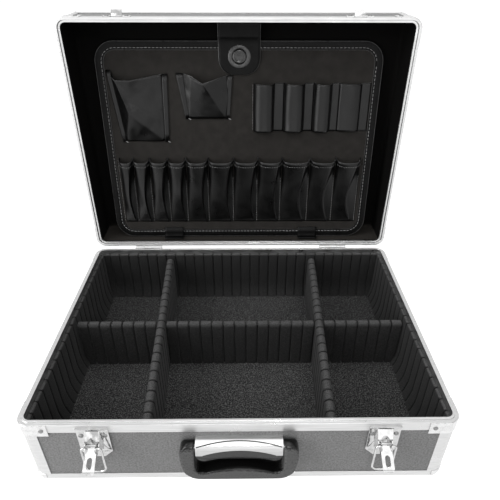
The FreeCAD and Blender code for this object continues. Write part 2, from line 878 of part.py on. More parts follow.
def latch_plate():
    body = new_body("latch_plate")
    wide = s.latch_half_width
    foot = s.latch_foot_half
    shield = [
        (-foot, latch_low),
        (foot, latch_low),
        (wide, latch_shoulder),
        (wide, latch_high),
        (-wide, latch_high),
        (-wide, latch_shoulder),
    ]
    slot_low = s.base_height - s.hood_low_drop
    slot = rectangle(-s.slot_half, slot_low, s.slot_half, s.base_height - s.slot_drop)
    pad(body, "XZ_Plane", [shield, slot], s.latch_plate)
    lip = rectangle(-wide, latch_high - s.latch_plate, wide, latch_high)
    pad(body, "XZ_Plane", [lip], s.latch_lip, s.latch_plate)
    hood_high = s.base_height - s.hood_top_drop
    hood_low = s.base_height - s.hood_low_drop
    round_r = s.cheek_round
    cheek = [
        (-s.latch_plate, s.base_height - s.cheek_foot_drop),
        (-s.latch_plate, hood_high),
        (-s.hood_reach, hood_low),
        (-lever_out, lever_up + round_r, round_r, 1),
        (-(lever_out + round_r), lever_up, round_r, 1),
        (-lever_out, lever_up - round_r),
    ]
    hole = [(-lever_out, lever_up, pin_hole)]
    pad(body, "YZ_Plane", [cheek], s.cheek_thickness, s.cheek_inner, hole)
    pad(body, "YZ_Plane", [cheek], s.cheek_thickness, -(s.cheek_inner + s.cheek_thickness), hole)
    hood = [
        (-s.latch_plate, hood_high - s.hood_sheet),
        (-s.latch_plate, hood_high),
        (-s.hood_reach, hood_low),
        (-s.hood_reach, hood_low - s.hood_sheet),
    ]
    pad(body, "YZ_Plane", [hood], s.cheek_inner * 2, -s.cheek_inner)
    arch = s.hood_arch_half
    arch_r = arch_radius(arch, s.hood_arch_rise, "hood_arch_half", "hood_arch_rise")
    spring = hood_low - s.hood_sheet
    arch_cut = [
        (-arch, spring - s.hood_sheet),
        (arch, spring - s.hood_sheet),
        (arch, spring, arch_r, 1),
        (-arch, spring),
    ]
    past_hood = s.hood_reach + s.hood_sheet
    pocket(body, "XZ_Plane", [arch_cut], past_hood - s.latch_plate, past_hood)
    return body


def latch_lever():
    """Lever about its own pivot, drawn level with its tip toward -Y."""
    body = new_body("latch_lever")
    low = s.lever_plate_low
    high = s.lever_plate_low + s.lever_plate
    tip = s.lever_length
    curl = s.lever_curl
    inner_curl = curl - s.lever_plate
    strip = [
        (-s.lever_heel, low),
        (-tip, low, inner_curl, 1),
        (-(tip + inner_curl), low - inner_curl),
        (-(tip + curl), low - inner_curl, curl, -1),
        (-tip, high),
        (-s.lever_heel, high),
    ]
    half = s.lever_half
    pad(body, "YZ_Plane", [strip], half * 2, -half)
    above = high + s.lever_plate / 2
    wide = s.lever_slot_half
    near = -(s.lever_slot_start + wide)
    far = wide - (s.lever_slot_start + s.lever_slot_length)
    window = bend(ZERO, far, wide, HALF_TURN) + bend(ZERO, far, wide, -QUARTER_TURN)[1:]
    window += bend(ZERO, near, wide, 0) + bend(ZERO, near, wide, QUARTER_TURN)[1:]
    pocket(body, "XY_Plane", [window], s.lever_plate * 2, above)
    nose = s.lever_nose
    end = -(tip + curl)
    past = half + nose
    right_nose = bend(half - nose, end + nose, nose, -QUARTER_TURN)
    right_nose += [(past, end + nose), (past, end - nose), (half - nose, end - nose)]
    left_nose = bend(nose - half, end + nose, nose, HALF_TURN)
    left_nose += [(nose - half, end - nose), (-past, end - nose), (-past, end + nose)]
    pocket(body, "XY_Plane", [right_nose, left_nose], curl * 2, above)
    top = s.bail_above + s.ear_margin
    ear = [
        (s.lever_heel, -(s.lever_belly / 2)),
        (s.lever_heel, s.lever_belly / 2),
        (-(s.bail_along - s.ear_margin), top - s.lever_plate),
        (-s.bail_along, top),
        (-(s.bail_along + s.ear_margin), top - s.running_gap),
        (-(s.bail_along + s.ear_margin * 2), high),
        (-s.lever_ear_length, high),
        (-s.lever_ear_length, low),
        (-s.bail_along, -s.lever_belly + s.running_gap),
        (ZERO, -s.lever_belly),
    ]
    holes = [
        (ZERO, ZERO, pin_hole),
        (-s.bail_along, s.bail_above, s.bail_radius + s.running_gap),
    ]
    pad(body, "YZ_Plane", [ear], s.lever_ear, half - s.lever_ear, holes)
    pad(body, "YZ_Plane", [ear], s.lever_ear, -half, holes)
    return body


def wire_section(radius):
    corners = []
    for i in range(WIRE_SIDES):
        angle = math.radians(HALF_TURN * (2 * i + 1) / WIRE_SIDES)
        corners.append((radius * math.cos(angle), radius * math.sin(angle)))
    return corners


def latch_bail():
    """Wire loop about its own pivot, hanging straight down."""
    body = new_body("latch_bail")
    half = s.bail_half
    turn = s.bail_turn
    corner = s.bail_corner
    low = corner - s.bail_length
    path = [(-s.bail_end, ZERO)]
    path += bend(turn - half, -turn, turn, QUARTER_TURN)
    path += bend(corner - half, low, corner, HALF_TURN)
    path += bend(half - corner, low, corner, -QUARTER_TURN)
    path += bend(half - turn, -turn, turn, 0)
    path.append((s.bail_end, ZERO))
    spine = new_sketch(body, "XZ_Plane", path=path)
    profile = new_sketch(body, "YZ_Plane", [wire_section(s.bail_radius)], lift=-s.bail_end)
    doc.recompute()
    wire = body.newObject("PartDesign::AdditivePipe", "latch_bail_wire")
    wire.Profile = profile
    wire.Spine = (spine, ["Edge" + str(i + 1) for i in range(len(path) - 1)])
    wire.Transition = "Right corner"
    body.Tip = wire
    return body


def latch_keeper():
    """Keeper about its own middle, z measured from the parting line of the closed case."""
    body = new_body("latch_keeper")
    wide = s.keeper_half
    low = s.keeper_low
    high = s.keeper_high
    waist = s.keeper_waist
    lobe = s.keeper_lobe
    plate = [
        (-wide, low),
        (-lobe, low),
        (-s.hook_half, waist),
        (s.hook_half, waist),
        (lobe, low),
        (wide, low),
        (wide, high),
        (-wide, high),
    ]
    pad(body, "XZ_Plane", [plate], s.keeper_plate)
    hook = [
        (-s.keeper_plate, s.hook_seat - s.hook_sheet),
        (-s.keeper_plate, s.hook_seat),
        (s.hook_lip_thickness - s.hook_out, s.hook_seat),
        (s.hook_lip_thickness - s.hook_out, s.hook_lip),
        (-s.hook_out, s.hook_lip),
        (-s.hook_out, s.hook_seat - s.hook_sheet),
    ]
    pad(body, "YZ_Plane", [hook], s.hook_half * 2, -s.hook_half)
    return body


def copy_of(source):
    return group([source])


plate_master = latch_plate()
lever_master = latch_lever()
bail_master = latch_bail()
keeper_master = latch_keeper()
level_turn = FreeCAD.Rotation(X_AXIS, LEVER_FALL)
no_turn = FreeCAD.Rotation()
pins = []
keepers = []
for name, side in (("left", -1), ("right", 1)):
    middle = latch_middle.value * side
    front = -half_depth.value
    seat = FreeCAD.Vector(middle, front, 0)
    node("latch_plate_" + name, copy_of(plate_master), FreeCAD.Placement(seat, no_turn))
    pivot = FreeCAD.Vector(middle, front - lever_out.value, lever_up.value)
    node("latch_lever_" + name, copy_of(lever_master), FreeCAD.Placement(pivot, level_turn))
    hang = FreeCAD.Vector(middle, front - bail_out.value, bail_up.value)
    node("latch_bail_" + name, copy_of(bail_master), FreeCAD.Placement(hang, no_turn))
    pin_reach = s.cheek_inner + s.cheek_thickness
    pin_x = latch_middle * side - pin_reach
    pin_y = -half_depth - lever_out
    pins.append(rod("latch_pin", pin_x, pin_y, lever_up, X_AXIS, s.lever_pin_radius, pin_reach * 2))
    closed_seat = FreeCAD.Placement(FreeCAD.Vector(middle, front, parting.value), no_turn)
    keeper = copy_of(keeper_master)
    keeper.Placement = swing.multiply(closed_seat)
    keepers.append(keeper)
    for edge in (-1, 1):
        x = latch_middle * side + s.latch_rivet_side * edge
        y = -half_depth - s.latch_plate
        base_rivets.append(rivet(x, y, s.base_height - s.latch_rivet_drop, -Y_AXIS))
        up = s.lid_height - (s.keeper_low + s.keeper_high) / 2 + s.parting_gap / 2
        lid_rivets.append(rivet(x, half_depth + s.keeper_plate, up, Y_AXIS))
node("latch_pins", group(pins))
node("latch_keepers", group(keepers))

# Carrying handle: a bar with a bright cover on the front panel and a loop that swings on a rod.
# Heights are measured from the line of the rod.
rod_out = s.handle_pivot_out
rod_up = s.base_height - s.handle_pivot_drop
rod_hole = s.rod_radius + s.running_gap
face = s.frame_skin
bar_nose = s.bar_brow_out + s.bar_round
bar_section = [
    (face, -s.bar_back_fall),
    (face, s.bar_back_rise),
    (-s.bar_brow_out, s.bar_brow_rise, s.bar_round, 1),
    (-bar_nose, s.bar_brow_rise - s.bar_round),
    (-s.bar_front_out, -s.bar_front_fall),
    (-s.bar_chin_out, -s.bar_chin_fall),
]
cover_section = [
    (face, s.bar_back_rise),
    (face, s.bar_back_rise + s.cover_sheet),
    (-s.bar_brow_out, s.bar_brow_rise + s.cover_sheet, s.bar_round + s.cover_sheet, 1),
    (-(bar_nose + s.cover_sheet), s.bar_brow_rise - s.bar_round),
    (-(s.bar_front_out + s.cover_sheet), -s.bar_front_fall),
    (-s.bar_front_out, -s.bar_front_fall),
    (-bar_nose, s.bar_brow_rise - s.bar_round, s.bar_round, -1),
    (-s.bar_brow_out, s.bar_brow_rise),
]
front_place = FreeCAD.Placement(FreeCAD.Vector(0, -half_depth.value, rod_up.value), no_turn)
bar = new_body("handle_bar")
pad(bar, "YZ_Plane", [bar_section], s.handle_half * 2, -s.handle_half, [(-rod_out, ZERO, rod_hole)])
node("handle_base", bar, front_place)


cover = new_body("handle_cover")
pad(cover, "YZ_Plane", [cover_section], s.handle_half * 2, -s.handle_half)
cover_arch = arch_radius(s.cover_arch_half, s.cover_arch_rise, "cover_arch_half", "cover_arch_rise")
arch_low = -s.cover_arch_fall
arch_floor = arch_low - s.cover_arch_rise
arch_window = [
    (-s.cover_arch_half, arch_floor),
    (s.cover_arch_half, arch_floor),
    (s.cover_arch_half, arch_low, cover_arch, 1),
    (-s.cover_arch_half, arch_low),
]
pocket(cover, "XZ_Plane", [arch_window], s.grip_front, s.grip_front)
node("handle_cover", cover, front_place)

rod_y = -half_depth - rod_out
node("handle_rod", rod("swing_rod", -s.rod_half, rod_y, rod_up, X_AXIS, s.rod_radius, s.rod_half * 2))

loop = new_body("handle_loop_body")
arm = s.arm_round
grip_low = -s.grip_fall
grip_side = -s.grip_side_fall
loop_side = [
    (arm - rod_out, ZERO, arm, 1),
    (-rod_out, arm, arm, 1),
    (-(rod_out + arm), ZERO),
    (-s.grip_front, -s.grip_shoulder_fall),
    (-s.grip_front, grip_low + s.grip_round_front, s.grip_round_front, 1),
    (-(s.grip_front - s.grip_round_front), grip_low),
    (-(s.grip_back + s.grip_round_back), grip_low, s.grip_round_back, 1),
    (-s.grip_back, grip_low + s.grip_round_back),
    (-s.grip_back, -s.grip_shoulder_fall),
]
pad(loop, "YZ_Plane", [loop_side], s.arm_outer * 2, -s.arm_outer)
past_out = s.grip_front + s.arm_round
past_in = past_out + s.arm_round
past_top = s.arm_round * 2
grip_arch = arch_radius(s.grip_side_half, s.grip_arch_rise, "grip_side_half", "grip_arch_rise")
inner_round = s.arm_inner - s.grip_side_half
window = [
    (-s.arm_inner, past_top),
    (-s.arm_inner, grip_side + inner_round, inner_round, 1),
    (-s.grip_side_half, grip_side, grip_arch, -1),
    (s.grip_side_half, grip_side, inner_round, 1),
    (s.arm_inner, grip_side + inner_round),
    (s.arm_inner, past_top),
]
pocket(loop, "XZ_Plane", [window], past_in, past_out)
past_side = s.arm_outer + s.arm_round
shoulder = s.loop_shoulder
shoulder_low = arm - shoulder
loop_side_low = -s.loop_side_fall
loop_corner_low = -s.loop_corner_fall
loop_bow = s.grip_fall - s.loop_corner_fall
bow_square = s.loop_corner_half.value ** 2 + loop_bow.value ** 2
loop_bow_radius = Dim(
    bow_square / (2 * loop_bow.value),
    "((dims.loop_corner_half * dims.loop_corner_half + " + loop_bow.text + " * " + loop_bow.text
    + ") / (2.0 * " + loop_bow.text + "))",
)


def corner_trims(side):
    turn = int(side)
    low_trim = [
        (ZERO, grip_low - arm),
        (past_side * side, grip_low - arm),
        (past_side * side, shoulder_low),
        (s.arm_outer * side, shoulder_low, s.loop_side_radius, -turn),
        (s.loop_side_half * side, loop_side_low, s.loop_corner_radius, -turn),
        (s.loop_corner_half * side, loop_corner_low, loop_bow_radius, -turn),
        (ZERO, grip_low),
    ]
    high_trim = [
        (past_side * side, past_top),
        ((s.arm_outer - shoulder) * side, past_top),
        ((s.arm_outer - shoulder) * side, arm, shoulder, -turn),
        (s.arm_outer * side, shoulder_low),
        (past_side * side, shoulder_low),
    ]
    return low_trim, high_trim


for side in (-1, 1):
    for trim in corner_trims(side):
        pocket(loop, "XZ_Plane", [trim], past_in, past_out)
bore_half = s.rod_half + s.rod_radius
bore = [(-rod_out, ZERO, rod_hole)]
pocket(loop, "YZ_Plane", [], bore_half * 2, -bore_half, bore, True)
node("handle_loop", loop, front_place)

# Hinges on the back: leaves with rolled knuckles, and a lug that stops the lid when upright.
hinge_middle = half_width - s.hinge_inset
leaf_y = half_depth
leaf_out = half_depth + s.hinge_leaf
bore_radius = s.hinge_pin_radius + s.running_gap
knuckle_ring = [(hinge_y, parting, s.knuckle_radius), (hinge_y, parting, bore_radius)]
web_out = half_depth + s.knuckle_web


def hinge_pair(make):
    first = make()
    return first, mirrored(first, X_AXIS)


def base_leaf():
    body = new_body("hinge_base_leaf")
    low_x = hinge_middle - s.hinge_half
    high = parting - s.hinge_clear
    low = high - s.hinge_leaf_height
    pad(body, "YZ_Plane", [rectangle(leaf_y, low, leaf_out, high)], s.hinge_half * 2, low_x)
    length = s.hinge_half - s.knuckle_half - s.knuckle_gap
    for start in (low_x, hinge_middle + s.knuckle_half + s.knuckle_gap):
        web = rectangle(leaf_y, high - s.hinge_leaf, web_out, parting)
        pad(body, "YZ_Plane", [web], length, start)
        pad(body, "YZ_Plane", [], length, start, knuckle_ring)
    return body


def lid_leaf():
    """Lid leaf drawn with the case closed; the lug points backward until the lid swings up."""
    body = new_body("hinge_lid_leaf")
    low_x = hinge_middle - s.hinge_half
    low = parting + s.hinge_clear
    high = low + s.hinge_leaf_height
    pad(body, "YZ_Plane", [rectangle(leaf_y, low, leaf_out, high)], s.hinge_half * 2, low_x)
    start = hinge_middle - s.knuckle_half
    length = s.knuckle_half * 2
    web = rectangle(leaf_y, parting, web_out, low + s.hinge_leaf)
    pad(body, "YZ_Plane", [web], length, start)
    pad(body, "YZ_Plane", [], length, start, knuckle_ring)
    near = s.hinge_out - s.hinge_leaf - s.stop_gap
    lug = rectangle(hinge_y + s.stop_top, parting - near, hinge_y + s.stop_drop, parting - near + s.hinge_leaf)
    pad(body, "YZ_Plane", [lug], length, start)
    return body


leaf, other_leaf = hinge_pair(base_leaf)
node("hinge_base_leaves", group([leaf, other_leaf]))
leaf, other_leaf = hinge_pair(lid_leaf)
node("hinge_lid_leaves", group([leaf, other_leaf]), swing)
hinge_pins = []
for side in (-1, 1):
    pin_x = hinge_middle * side - s.hinge_half
    hinge_pins.append(rod("hinge_pin", pin_x, hinge_y, parting, X_AXIS, s.hinge_pin_radius, s.hinge_half * 2))
    for edge in (-1, 1):
        x = hinge_middle * side + s.hinge_rivet_side * edge
        base_rivets.append(rivet(x, leaf_out, parting - s.hinge_rivet_reach, Y_AXIS))
        up = s.lid_height + s.parting_gap / 2 - s.hinge_rivet_reach
        lid_rivets.append(rivet(x, -leaf_out, up, -Y_AXIS))
node("hinge_pins", group(hinge_pins))
node("base_rivets", group(base_rivets))
node("lid_rivets", group(lid_rivets), lid_place)

# Lid lining: a thin tray against the boards.
tray = new_body("lining_tray")
tray_x = half_width - inner_inset
tray_y = half_depth - inner_inset
tray_loop = rectangle(-tray_x, -tray_y, tray_x, tray_y)
pad(tray, "XY_Plane", [tray_loop], s.lining, inner_inset)
wall_x = tray_x - s.lining
wall_y = tray_y - s.lining
wall_loop = rectangle(-wall_x, -wall_y, wall_x, wall_y)
wall_low = inner_inset + s.lining
wall_high = s.lid_height - s.lining_drop
pad(tray, "XY_Plane", [tray_loop, wall_loop], wall_high - wall_low, wall_low)
node("lid_lining", tray, lid_place)

# Tool pallet: drawn upright with its face at y = 0, then leaned back against the lining.
pallet_half = wall_x - s.pallet_side_gap
pallet_height = wall_y * 2 - s.pallet_head_gap
lining_back = hinge_y.value + s.parting_gap.value / 2 + s.lid_height.value - wall_low.value
lining_floor = parting.value + s.hinge_out.value + wall_low.value
foot_y = lining_back - s.pallet_foot_depth.value
board_slant = math.hypot(pallet_height.value, s.pallet_thickness.value)
head_room = (s.pallet_foot_depth.value - s.pallet_clear.value) / board_slant
lean = math.degrees(math.asin(head_room))
lean -= math.degrees(math.atan2(s.pallet_thickness.value, pallet_height.value))
pallet_foot = FreeCAD.Vector(0, foot_y, lining_floor + s.pallet_seat.value)
pallet_place = FreeCAD.Placement(pallet_foot, FreeCAD.Rotation(X_AXIS, -lean))


def board_loop(inset):
    half = pallet_half - inset
    low = inset
    high = pallet_height - inset
    r = s.pallet_radius - inset
    return [
        (r - half, low),
        (half - r, low, r, 1),
        (half, low + r),
        (half, high - r, r, 1),
        (half - r, high),
        (r - half, high, r, 1),
        (-half, high - r),
        (-half, low + r, r, 1),
    ]


board = new_body("pallet_board")
pad(board, "XZ_Plane", [board_loop(ZERO)], s.pallet_thickness, -s.pallet_thickness)
node("tool_pallet", board, pallet_place)
binding = new_body("binding_ring")
pad(binding, "XZ_Plane", [board_loop(ZERO), board_loop(s.binding_width)], s.binding_thickness)
node("pallet_binding", binding, pallet_place)

# Pockets and loops: slanted or upright fronts between webs, all standing on the board.
pocket_high = pallet_height * POCKET_TOP_SHARE
pocket_half = pallet_half - s.pocket_side_gap
loop_low = pallet_height * LOOP_FOOT_SHARE
loop_high = pallet_height * LOOP_TOP_SHARE
loop_row = pallet_half - s.loop_side_gap - s.loop_start


def slab(name, section, start, length):
    body = new_body(name)
    pad(body, "YZ_Plane", [section], length, start)
    return body


pocket_front = [
    (ZERO, s.pocket_low),
    (s.sheet - s.pocket_depth, pocket_high),
    (-s.pocket_depth, pocket_high),
    (-s.sheet, s.pocket_low),
]
pocket_web = [
    (ZERO, s.pocket_low),
    (ZERO, pocket_high),
    (-s.pocket_depth, pocket_high),
    (-s.sheet, s.pocket_low),
]
loop_front = rectangle(-s.loop_depth, loop_low, s.sheet - s.loop_depth, loop_high)
loop_web = rectangle(-s.loop_depth, loop_low, ZERO, loop_high)


def row_of(name, start, row_length, width_shares, front_section, web_section):
    """A row of open cells: one web at each boundary and one front between two webs."""
    x = start
    pieces = [slab(name + "_web", web_section, x - s.sheet / 2, s.sheet)]
    for width_share in width_shares:
        width = row_length * width_share
        pieces.append(slab(name + "_front", front_section, x + s.sheet / 2, width - s.sheet))
        x = x + width
        pieces.append(slab(name + "_web", web_section, x - s.sheet / 2, s.sheet))
    return group(pieces)


pockets = row_of("pocket", -pocket_half, pocket_half * 2, POCKET_WIDTH_SHARES, pocket_front, pocket_web)
node("tool_pockets", pockets, pallet_place)
loops = row_of("loop", s.loop_start, loop_row, LOOP_WIDTH_SHARES, loop_front, loop_web)
node("tool_loops", loops, pallet_place)


def tapered(name, low, high, foot, top):
    """Upright block that widens from its foot; foot and top are (left, right, back, front)."""
    solid = doc.addObject("Part::Wedge", name)
    solid.Placement = FreeCAD.Placement(NO_SHIFT, FreeCAD.Rotation(X_AXIS, QUARTER_TURN))
    ends = dict(zip(("Xmin", "Xmax", "Zmin", "Zmax"), foot))
    ends.update(zip(("X2min", "X2max", "Z2min", "Z2max"), top))
    ends["Ymin"] = low
    ends["Ymax"] = high
    for prop, length in ends.items():
        bind(solid, prop, length)
    return solid


def large_pocket(name, foot_shares, top_shares):
    """Wide pocket that swells and widens from its stitched foot to its open top."""
    low = pallet_height * foot_shares[2]
    high = pallet_height * top_shares[2]
    foot_left = -(pallet_half * foot_shares[0])
    foot_right = -(pallet_half * foot_shares[1])
    top_left = -(pallet_half * top_shares[0])
    top_right = -(pallet_half * top_shares[1])
    wall = s.sheet
    outer_foot = (foot_left, foot_right, ZERO, s.large_foot_depth)
    outer_top = (top_left, top_right, ZERO, s.large_depth)
    inner_foot = (foot_left + wall, foot_right - wall, -wall, s.large_foot_depth - wall)
    inner_top = (top_left + wall, top_right - wall, -wall, s.large_depth - wall)
    outer = tapered(name + "_outer", low, high, outer_foot, outer_top)
    inner = tapered(name + "_inner", low, high, inner_foot, inner_top)
    node(name, cut(outer, inner), pallet_place)


large_pocket("large_pocket_left", LARGE_LEFT_FOOT_SHARES, LARGE_LEFT_TOP_SHARES)
large_pocket("large_pocket_right", LARGE_RIGHT_FOOT_SHARES, LARGE_RIGHT_TOP_SHARES)

# Holding strap over the head of the pallet, its snap, and two tabs at the foot.
strap_face = s.binding_thickness
strap_out = strap_face + s.sheet
strap_low = pallet_height * STRAP_FOOT_SHARE
strap_bend = pallet_height - s.strap_bend_drop
lid_inner_top = lining_floor + 2 * wall_y.value
tilt = math.radians(lean)
strap_front = strap_out + s.strap_stand
strap_plain = lid_inner_top - pallet_foot.z - s.pallet_clear.value
strap_plain -= strap_front.value * math.sin(tilt)
strap_top = as_dim(strap_plain / math.cos(tilt))
flange_fall = as_dim(s.strap_flange.value * math.tan(tilt))
strap = new_body("strap_sheet")
flat_loop = [
    (-s.strap_half, strap_bend),
    (-s.strap_half, strap_low + s.strap_round, s.strap_round, 1),
    (s.strap_round - s.strap_half, strap_low),
    (s.strap_half - s.strap_round, strap_low, s.strap_round, 1),
    (s.strap_half, strap_low + s.strap_round),
    (s.strap_half, strap_bend),
]
pad(strap, "XZ_Plane", [flat_loop], s.sheet, strap_face)
rise_section = [
    (-strap_face, strap_bend),
    (-(strap_face + s.strap_stand), strap_top),
    (-(strap_front + s.strap_flange), strap_top - flange_fall),
    (-(strap_front + s.strap_flange), strap_top - flange_fall - s.sheet),
    (-strap_front, strap_top - s.sheet),
    (-strap_out, strap_bend),
]
pad(strap, "YZ_Plane", [rise_section], s.strap_half * 2, -s.strap_half)
node("pallet_strap", strap, pallet_place)

snap_up = strap_bend - s.snap_drop
snap_ring = disc(
    "snap_ring", ZERO, -strap_out, snap_up, -Y_AXIS, s.snap_ring_radius, s.snap_ring_height, SNAP_SIDES
)
snap_face = strap_out + s.snap_ring_height
snap_cap = disc("snap_cap", ZERO, -snap_face, snap_up, -Y_AXIS, s.snap_radius, s.snap_height, SNAP_SIDES)
node("strap_snap", group([snap_ring, snap_cap]), pallet_place)

tab = new_body("tab_sheet")
tab_section = [
    (-strap_face, s.tab_high),
    (-strap_out, s.tab_high),
    (-strap_out, s.sheet / 2),
    (-(strap_out + s.tab_flange), s.sheet / 2),
    (-(strap_out + s.tab_flange), -(s.sheet / 2)),
    (-strap_face, -(s.sheet / 2)),
]
pad(tab, "YZ_Plane", [tab_section], s.tab_half * 2, pallet_half * TAB_SHARE - s.tab_half)
node("pallet_tabs", group([tab, mirrored(tab, X_AXIS)]), pallet_place)

doc.recompute()
faults = []
for item in doc.Objects:
    if "Invalid" in item.State or "Error" in item.State:
        faults.append(item.Name + " " + str(item.State))
os.makedirs("parts", exist_ok=True)
for item in nodes:
    if item.Shape.isNull() or not item.Shape.isValid() or item.Shape.Volume <= 0:
        faults.append(item.Label + " has no valid shape")
if faults:
    raise RuntimeError("; ".join(faults))
for item in nodes:
    item.Shape.exportStep("parts/" + item.Label + ".step")
print(len(nodes), "pieces written")
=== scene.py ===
"""Looks of the flight case: eased metal, grooved foam and leatherette pockets.

Lengths are millimetres, and `piece` turns them into metres as it makes a mesh.
X runs right, Y back and Z up, from the middle of the base's underside.
"""
import json
import math

import bmesh
import bpy
from mathutils import Matrix, Vector, noise
from mathutils.bvhtree import BVHTree


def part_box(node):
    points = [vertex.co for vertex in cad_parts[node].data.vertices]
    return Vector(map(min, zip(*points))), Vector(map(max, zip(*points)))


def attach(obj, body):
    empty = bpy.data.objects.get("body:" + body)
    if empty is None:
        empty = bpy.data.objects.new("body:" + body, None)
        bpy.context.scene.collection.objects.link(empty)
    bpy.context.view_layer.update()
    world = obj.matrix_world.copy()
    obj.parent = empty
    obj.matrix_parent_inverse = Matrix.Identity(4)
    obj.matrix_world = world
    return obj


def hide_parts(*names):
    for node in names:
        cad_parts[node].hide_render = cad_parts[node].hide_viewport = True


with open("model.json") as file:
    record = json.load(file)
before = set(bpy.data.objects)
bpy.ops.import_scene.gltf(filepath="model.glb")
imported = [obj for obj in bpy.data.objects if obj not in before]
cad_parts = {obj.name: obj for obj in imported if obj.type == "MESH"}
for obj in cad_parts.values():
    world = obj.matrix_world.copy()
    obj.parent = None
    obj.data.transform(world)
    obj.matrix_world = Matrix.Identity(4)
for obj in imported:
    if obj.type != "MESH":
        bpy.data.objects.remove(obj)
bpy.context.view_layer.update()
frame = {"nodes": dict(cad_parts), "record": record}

MM = 0.001
BODY_OF = {node: body for body, nodes in frame["record"]["behaviour"]["bodies"].items() for node in nodes}


def node_box(node):
    """Low and high corner of a frame node, in millimetres."""
    low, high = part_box(node)
    return low / MM, high / MM


def spaced(low, high, steps):
    """Evenly spaced values from low to high, both included."""
    return [low + (high - low) * step / steps for step in range(steps + 1)]


# Finishes

NOISE_SPAN = (0.3, 0.7)


def spread(tree, value, span, results):
    """A value's span drawn out, or in, to run from one result to the other."""
    made = tree.nodes.new("ShaderNodeMapRange")
    for socket, number in zip(("From Min", "From Max", "To Min", "To Max"), (*span, *results)):
        made.inputs[socket].default_value = number
    tree.links.new(value, made.inputs["Value"])
    return made.outputs["Result"]


class Finish:
    """A procedural material: one principled surface fed with detail from the object's own coordinates."""

    def __init__(self, name, slot, roughness, metallic=0.0, specular=0.5):
        self.slot = slot
        self.material = bpy.data.materials.new(name)
        self.material.use_nodes = True
        self.tree = self.material.node_tree
        self.link = self.tree.links.new
        self.surface = self.tree.nodes["Principled BSDF"].inputs
        self.surface["Roughness"].default_value = roughness
        self.surface["Metallic"].default_value = metallic
        self.surface["Specular IOR Level"].default_value = specular
        self.place = self.tree.nodes.new("ShaderNodeTexCoord").outputs["Object"]
        self.relief_end = None

    def add(self, kind, **settings):
        made = self.tree.nodes.new(kind)
        for key, value in settings.items():
            setattr(made, key, value)
        return made

    def stretched(self, across, along, up):
        """The object's coordinates, drawn out along one axis or more."""
        mapping = self.add("ShaderNodeMapping")
        mapping.inputs["Scale"].default_value = (1 / across, 1 / along, 1 / up)
        self.link(self.place, mapping.inputs["Vector"])
        return mapping.outputs["Vector"]

    def clouds(self, size, detail=3.0, place=None):
        """Noise whose lumps are about `size` millimetres across."""
        made = self.add("ShaderNodeTexNoise")
        made.inputs["Scale"].default_value = 1 / (size * MM)
        made.inputs["Detail"].default_value = detail
        self.link(place or self.place, made.inputs["Vector"])
        return made.outputs["Fac"]

    def cells(self, size):
        """Rounded cells about `size` millimetres across."""
        made = self.add("ShaderNodeTexVoronoi", feature="SMOOTH_F1")
        made.inputs["Scale"].default_value = 1 / (size * MM)
        made.inputs["Smoothness"].default_value = 0.4
        self.link(self.place, made.inputs["Vector"])
        return made.outputs["Distance"]

    def upward(self):
        """From 0 on faces that look down to 1 on faces that look up."""
        split = self.add("ShaderNodeSeparateXYZ")
        self.link(self.add("ShaderNodeNewGeometry").outputs["Normal"], split.inputs["Vector"])
        return spread(self.tree, split.outputs["Z"], (-1.0, 1.0), (0.0, 1.0))

    def blend(self, first, second, share):
        """Two details mixed, with `share` of the second."""
        mixed = self.add("ShaderNodeMix")
        mixed.inputs["Factor"].default_value = share
        self.link(first, mixed.inputs["A"])
        self.link(second, mixed.inputs["B"])
        return mixed.outputs["Result"]

    def colour(self, detail, *stops):
        """Base colour run through stops of (position, (red, green, blue))."""
        ramp = self.add("ShaderNodeValToRGB")
        points = ramp.color_ramp.elements
        while len(points) < len(stops):
            points.new(0.5)
        for point, (position, tint) in zip(points, stops):
            point.position = position
            point.color = (*tint, 1.0)
        self.link(detail, ramp.inputs["Fac"])
        self.link(ramp.outputs["Color"], self.surface["Base Color"])

    def rough(self, detail, low, high):
        """Roughness that wanders between two values."""
        wander = spread(self.tree, detail, NOISE_SPAN, (low, high))
        self.link(wander, self.surface["Roughness"])

    def relief(self, detail, depth, strength=1.0):
        """Bump `depth` millimetres deep, laid over any before it."""
        bump = self.add("ShaderNodeBump")
        bump.inputs["Distance"].default_value = depth * MM
        bump.inputs["Strength"].default_value = strength
        self.link(detail, bump.inputs["Height"])
        if self.relief_end:
            self.link(self.relief_end, bump.inputs["Normal"])
        self.relief_end = bump.outputs["Normal"]
        self.link(self.relief_end, self.surface["Normal"])
        return self

    def sheen(self, weight, roughness=0.5):
        self.surface["Sheen Weight"].default_value = weight
        self.surface["Sheen Roughness"].default_value = roughness


def grey(level, warm=0.0):
    return (level * (1 + warm), level, level * (1 - warm))


def speckled(name, slot, grain, stops, gloss, relief, stretch=None, **surface):
    """A finish whose tint, gloss and relief follow one noise, given by its grain's size and detail."""
    made = Finish(name, slot, gloss[0], **surface)
    detail = made.clouds(*grain, made.stretched(stretch, 1, 1) if stretch else None)
    made.colour(detail, *stops)
    made.rough(detail, *gloss)
    return made.relief(detail, *relief)


laminate = Finish("laminate", "laminate", 0.5)
hammer = laminate.clouds(2.0, 4.0)
laminate.colour(hammer, (0.34, grey(0.14)), (0.5, grey(0.2)), (0.68, grey(0.265)))
laminate.rough(laminate.clouds(9.0), 0.42, 0.6)
laminate.relief(hammer, 0.4, 0.45)

aluminium = Finish("satin_aluminium", "frame", 0.32, metallic=1.0)
drawn = aluminium.clouds(1.2, 4.0, aluminium.stretched(40, 1, 1))
aluminium.colour(drawn, (0.3, grey(0.56)), (0.7, grey(0.67)))
aluminium.rough(aluminium.clouds(14.0), 0.26, 0.42)
aluminium.relief(drawn, 0.02, 0.5)

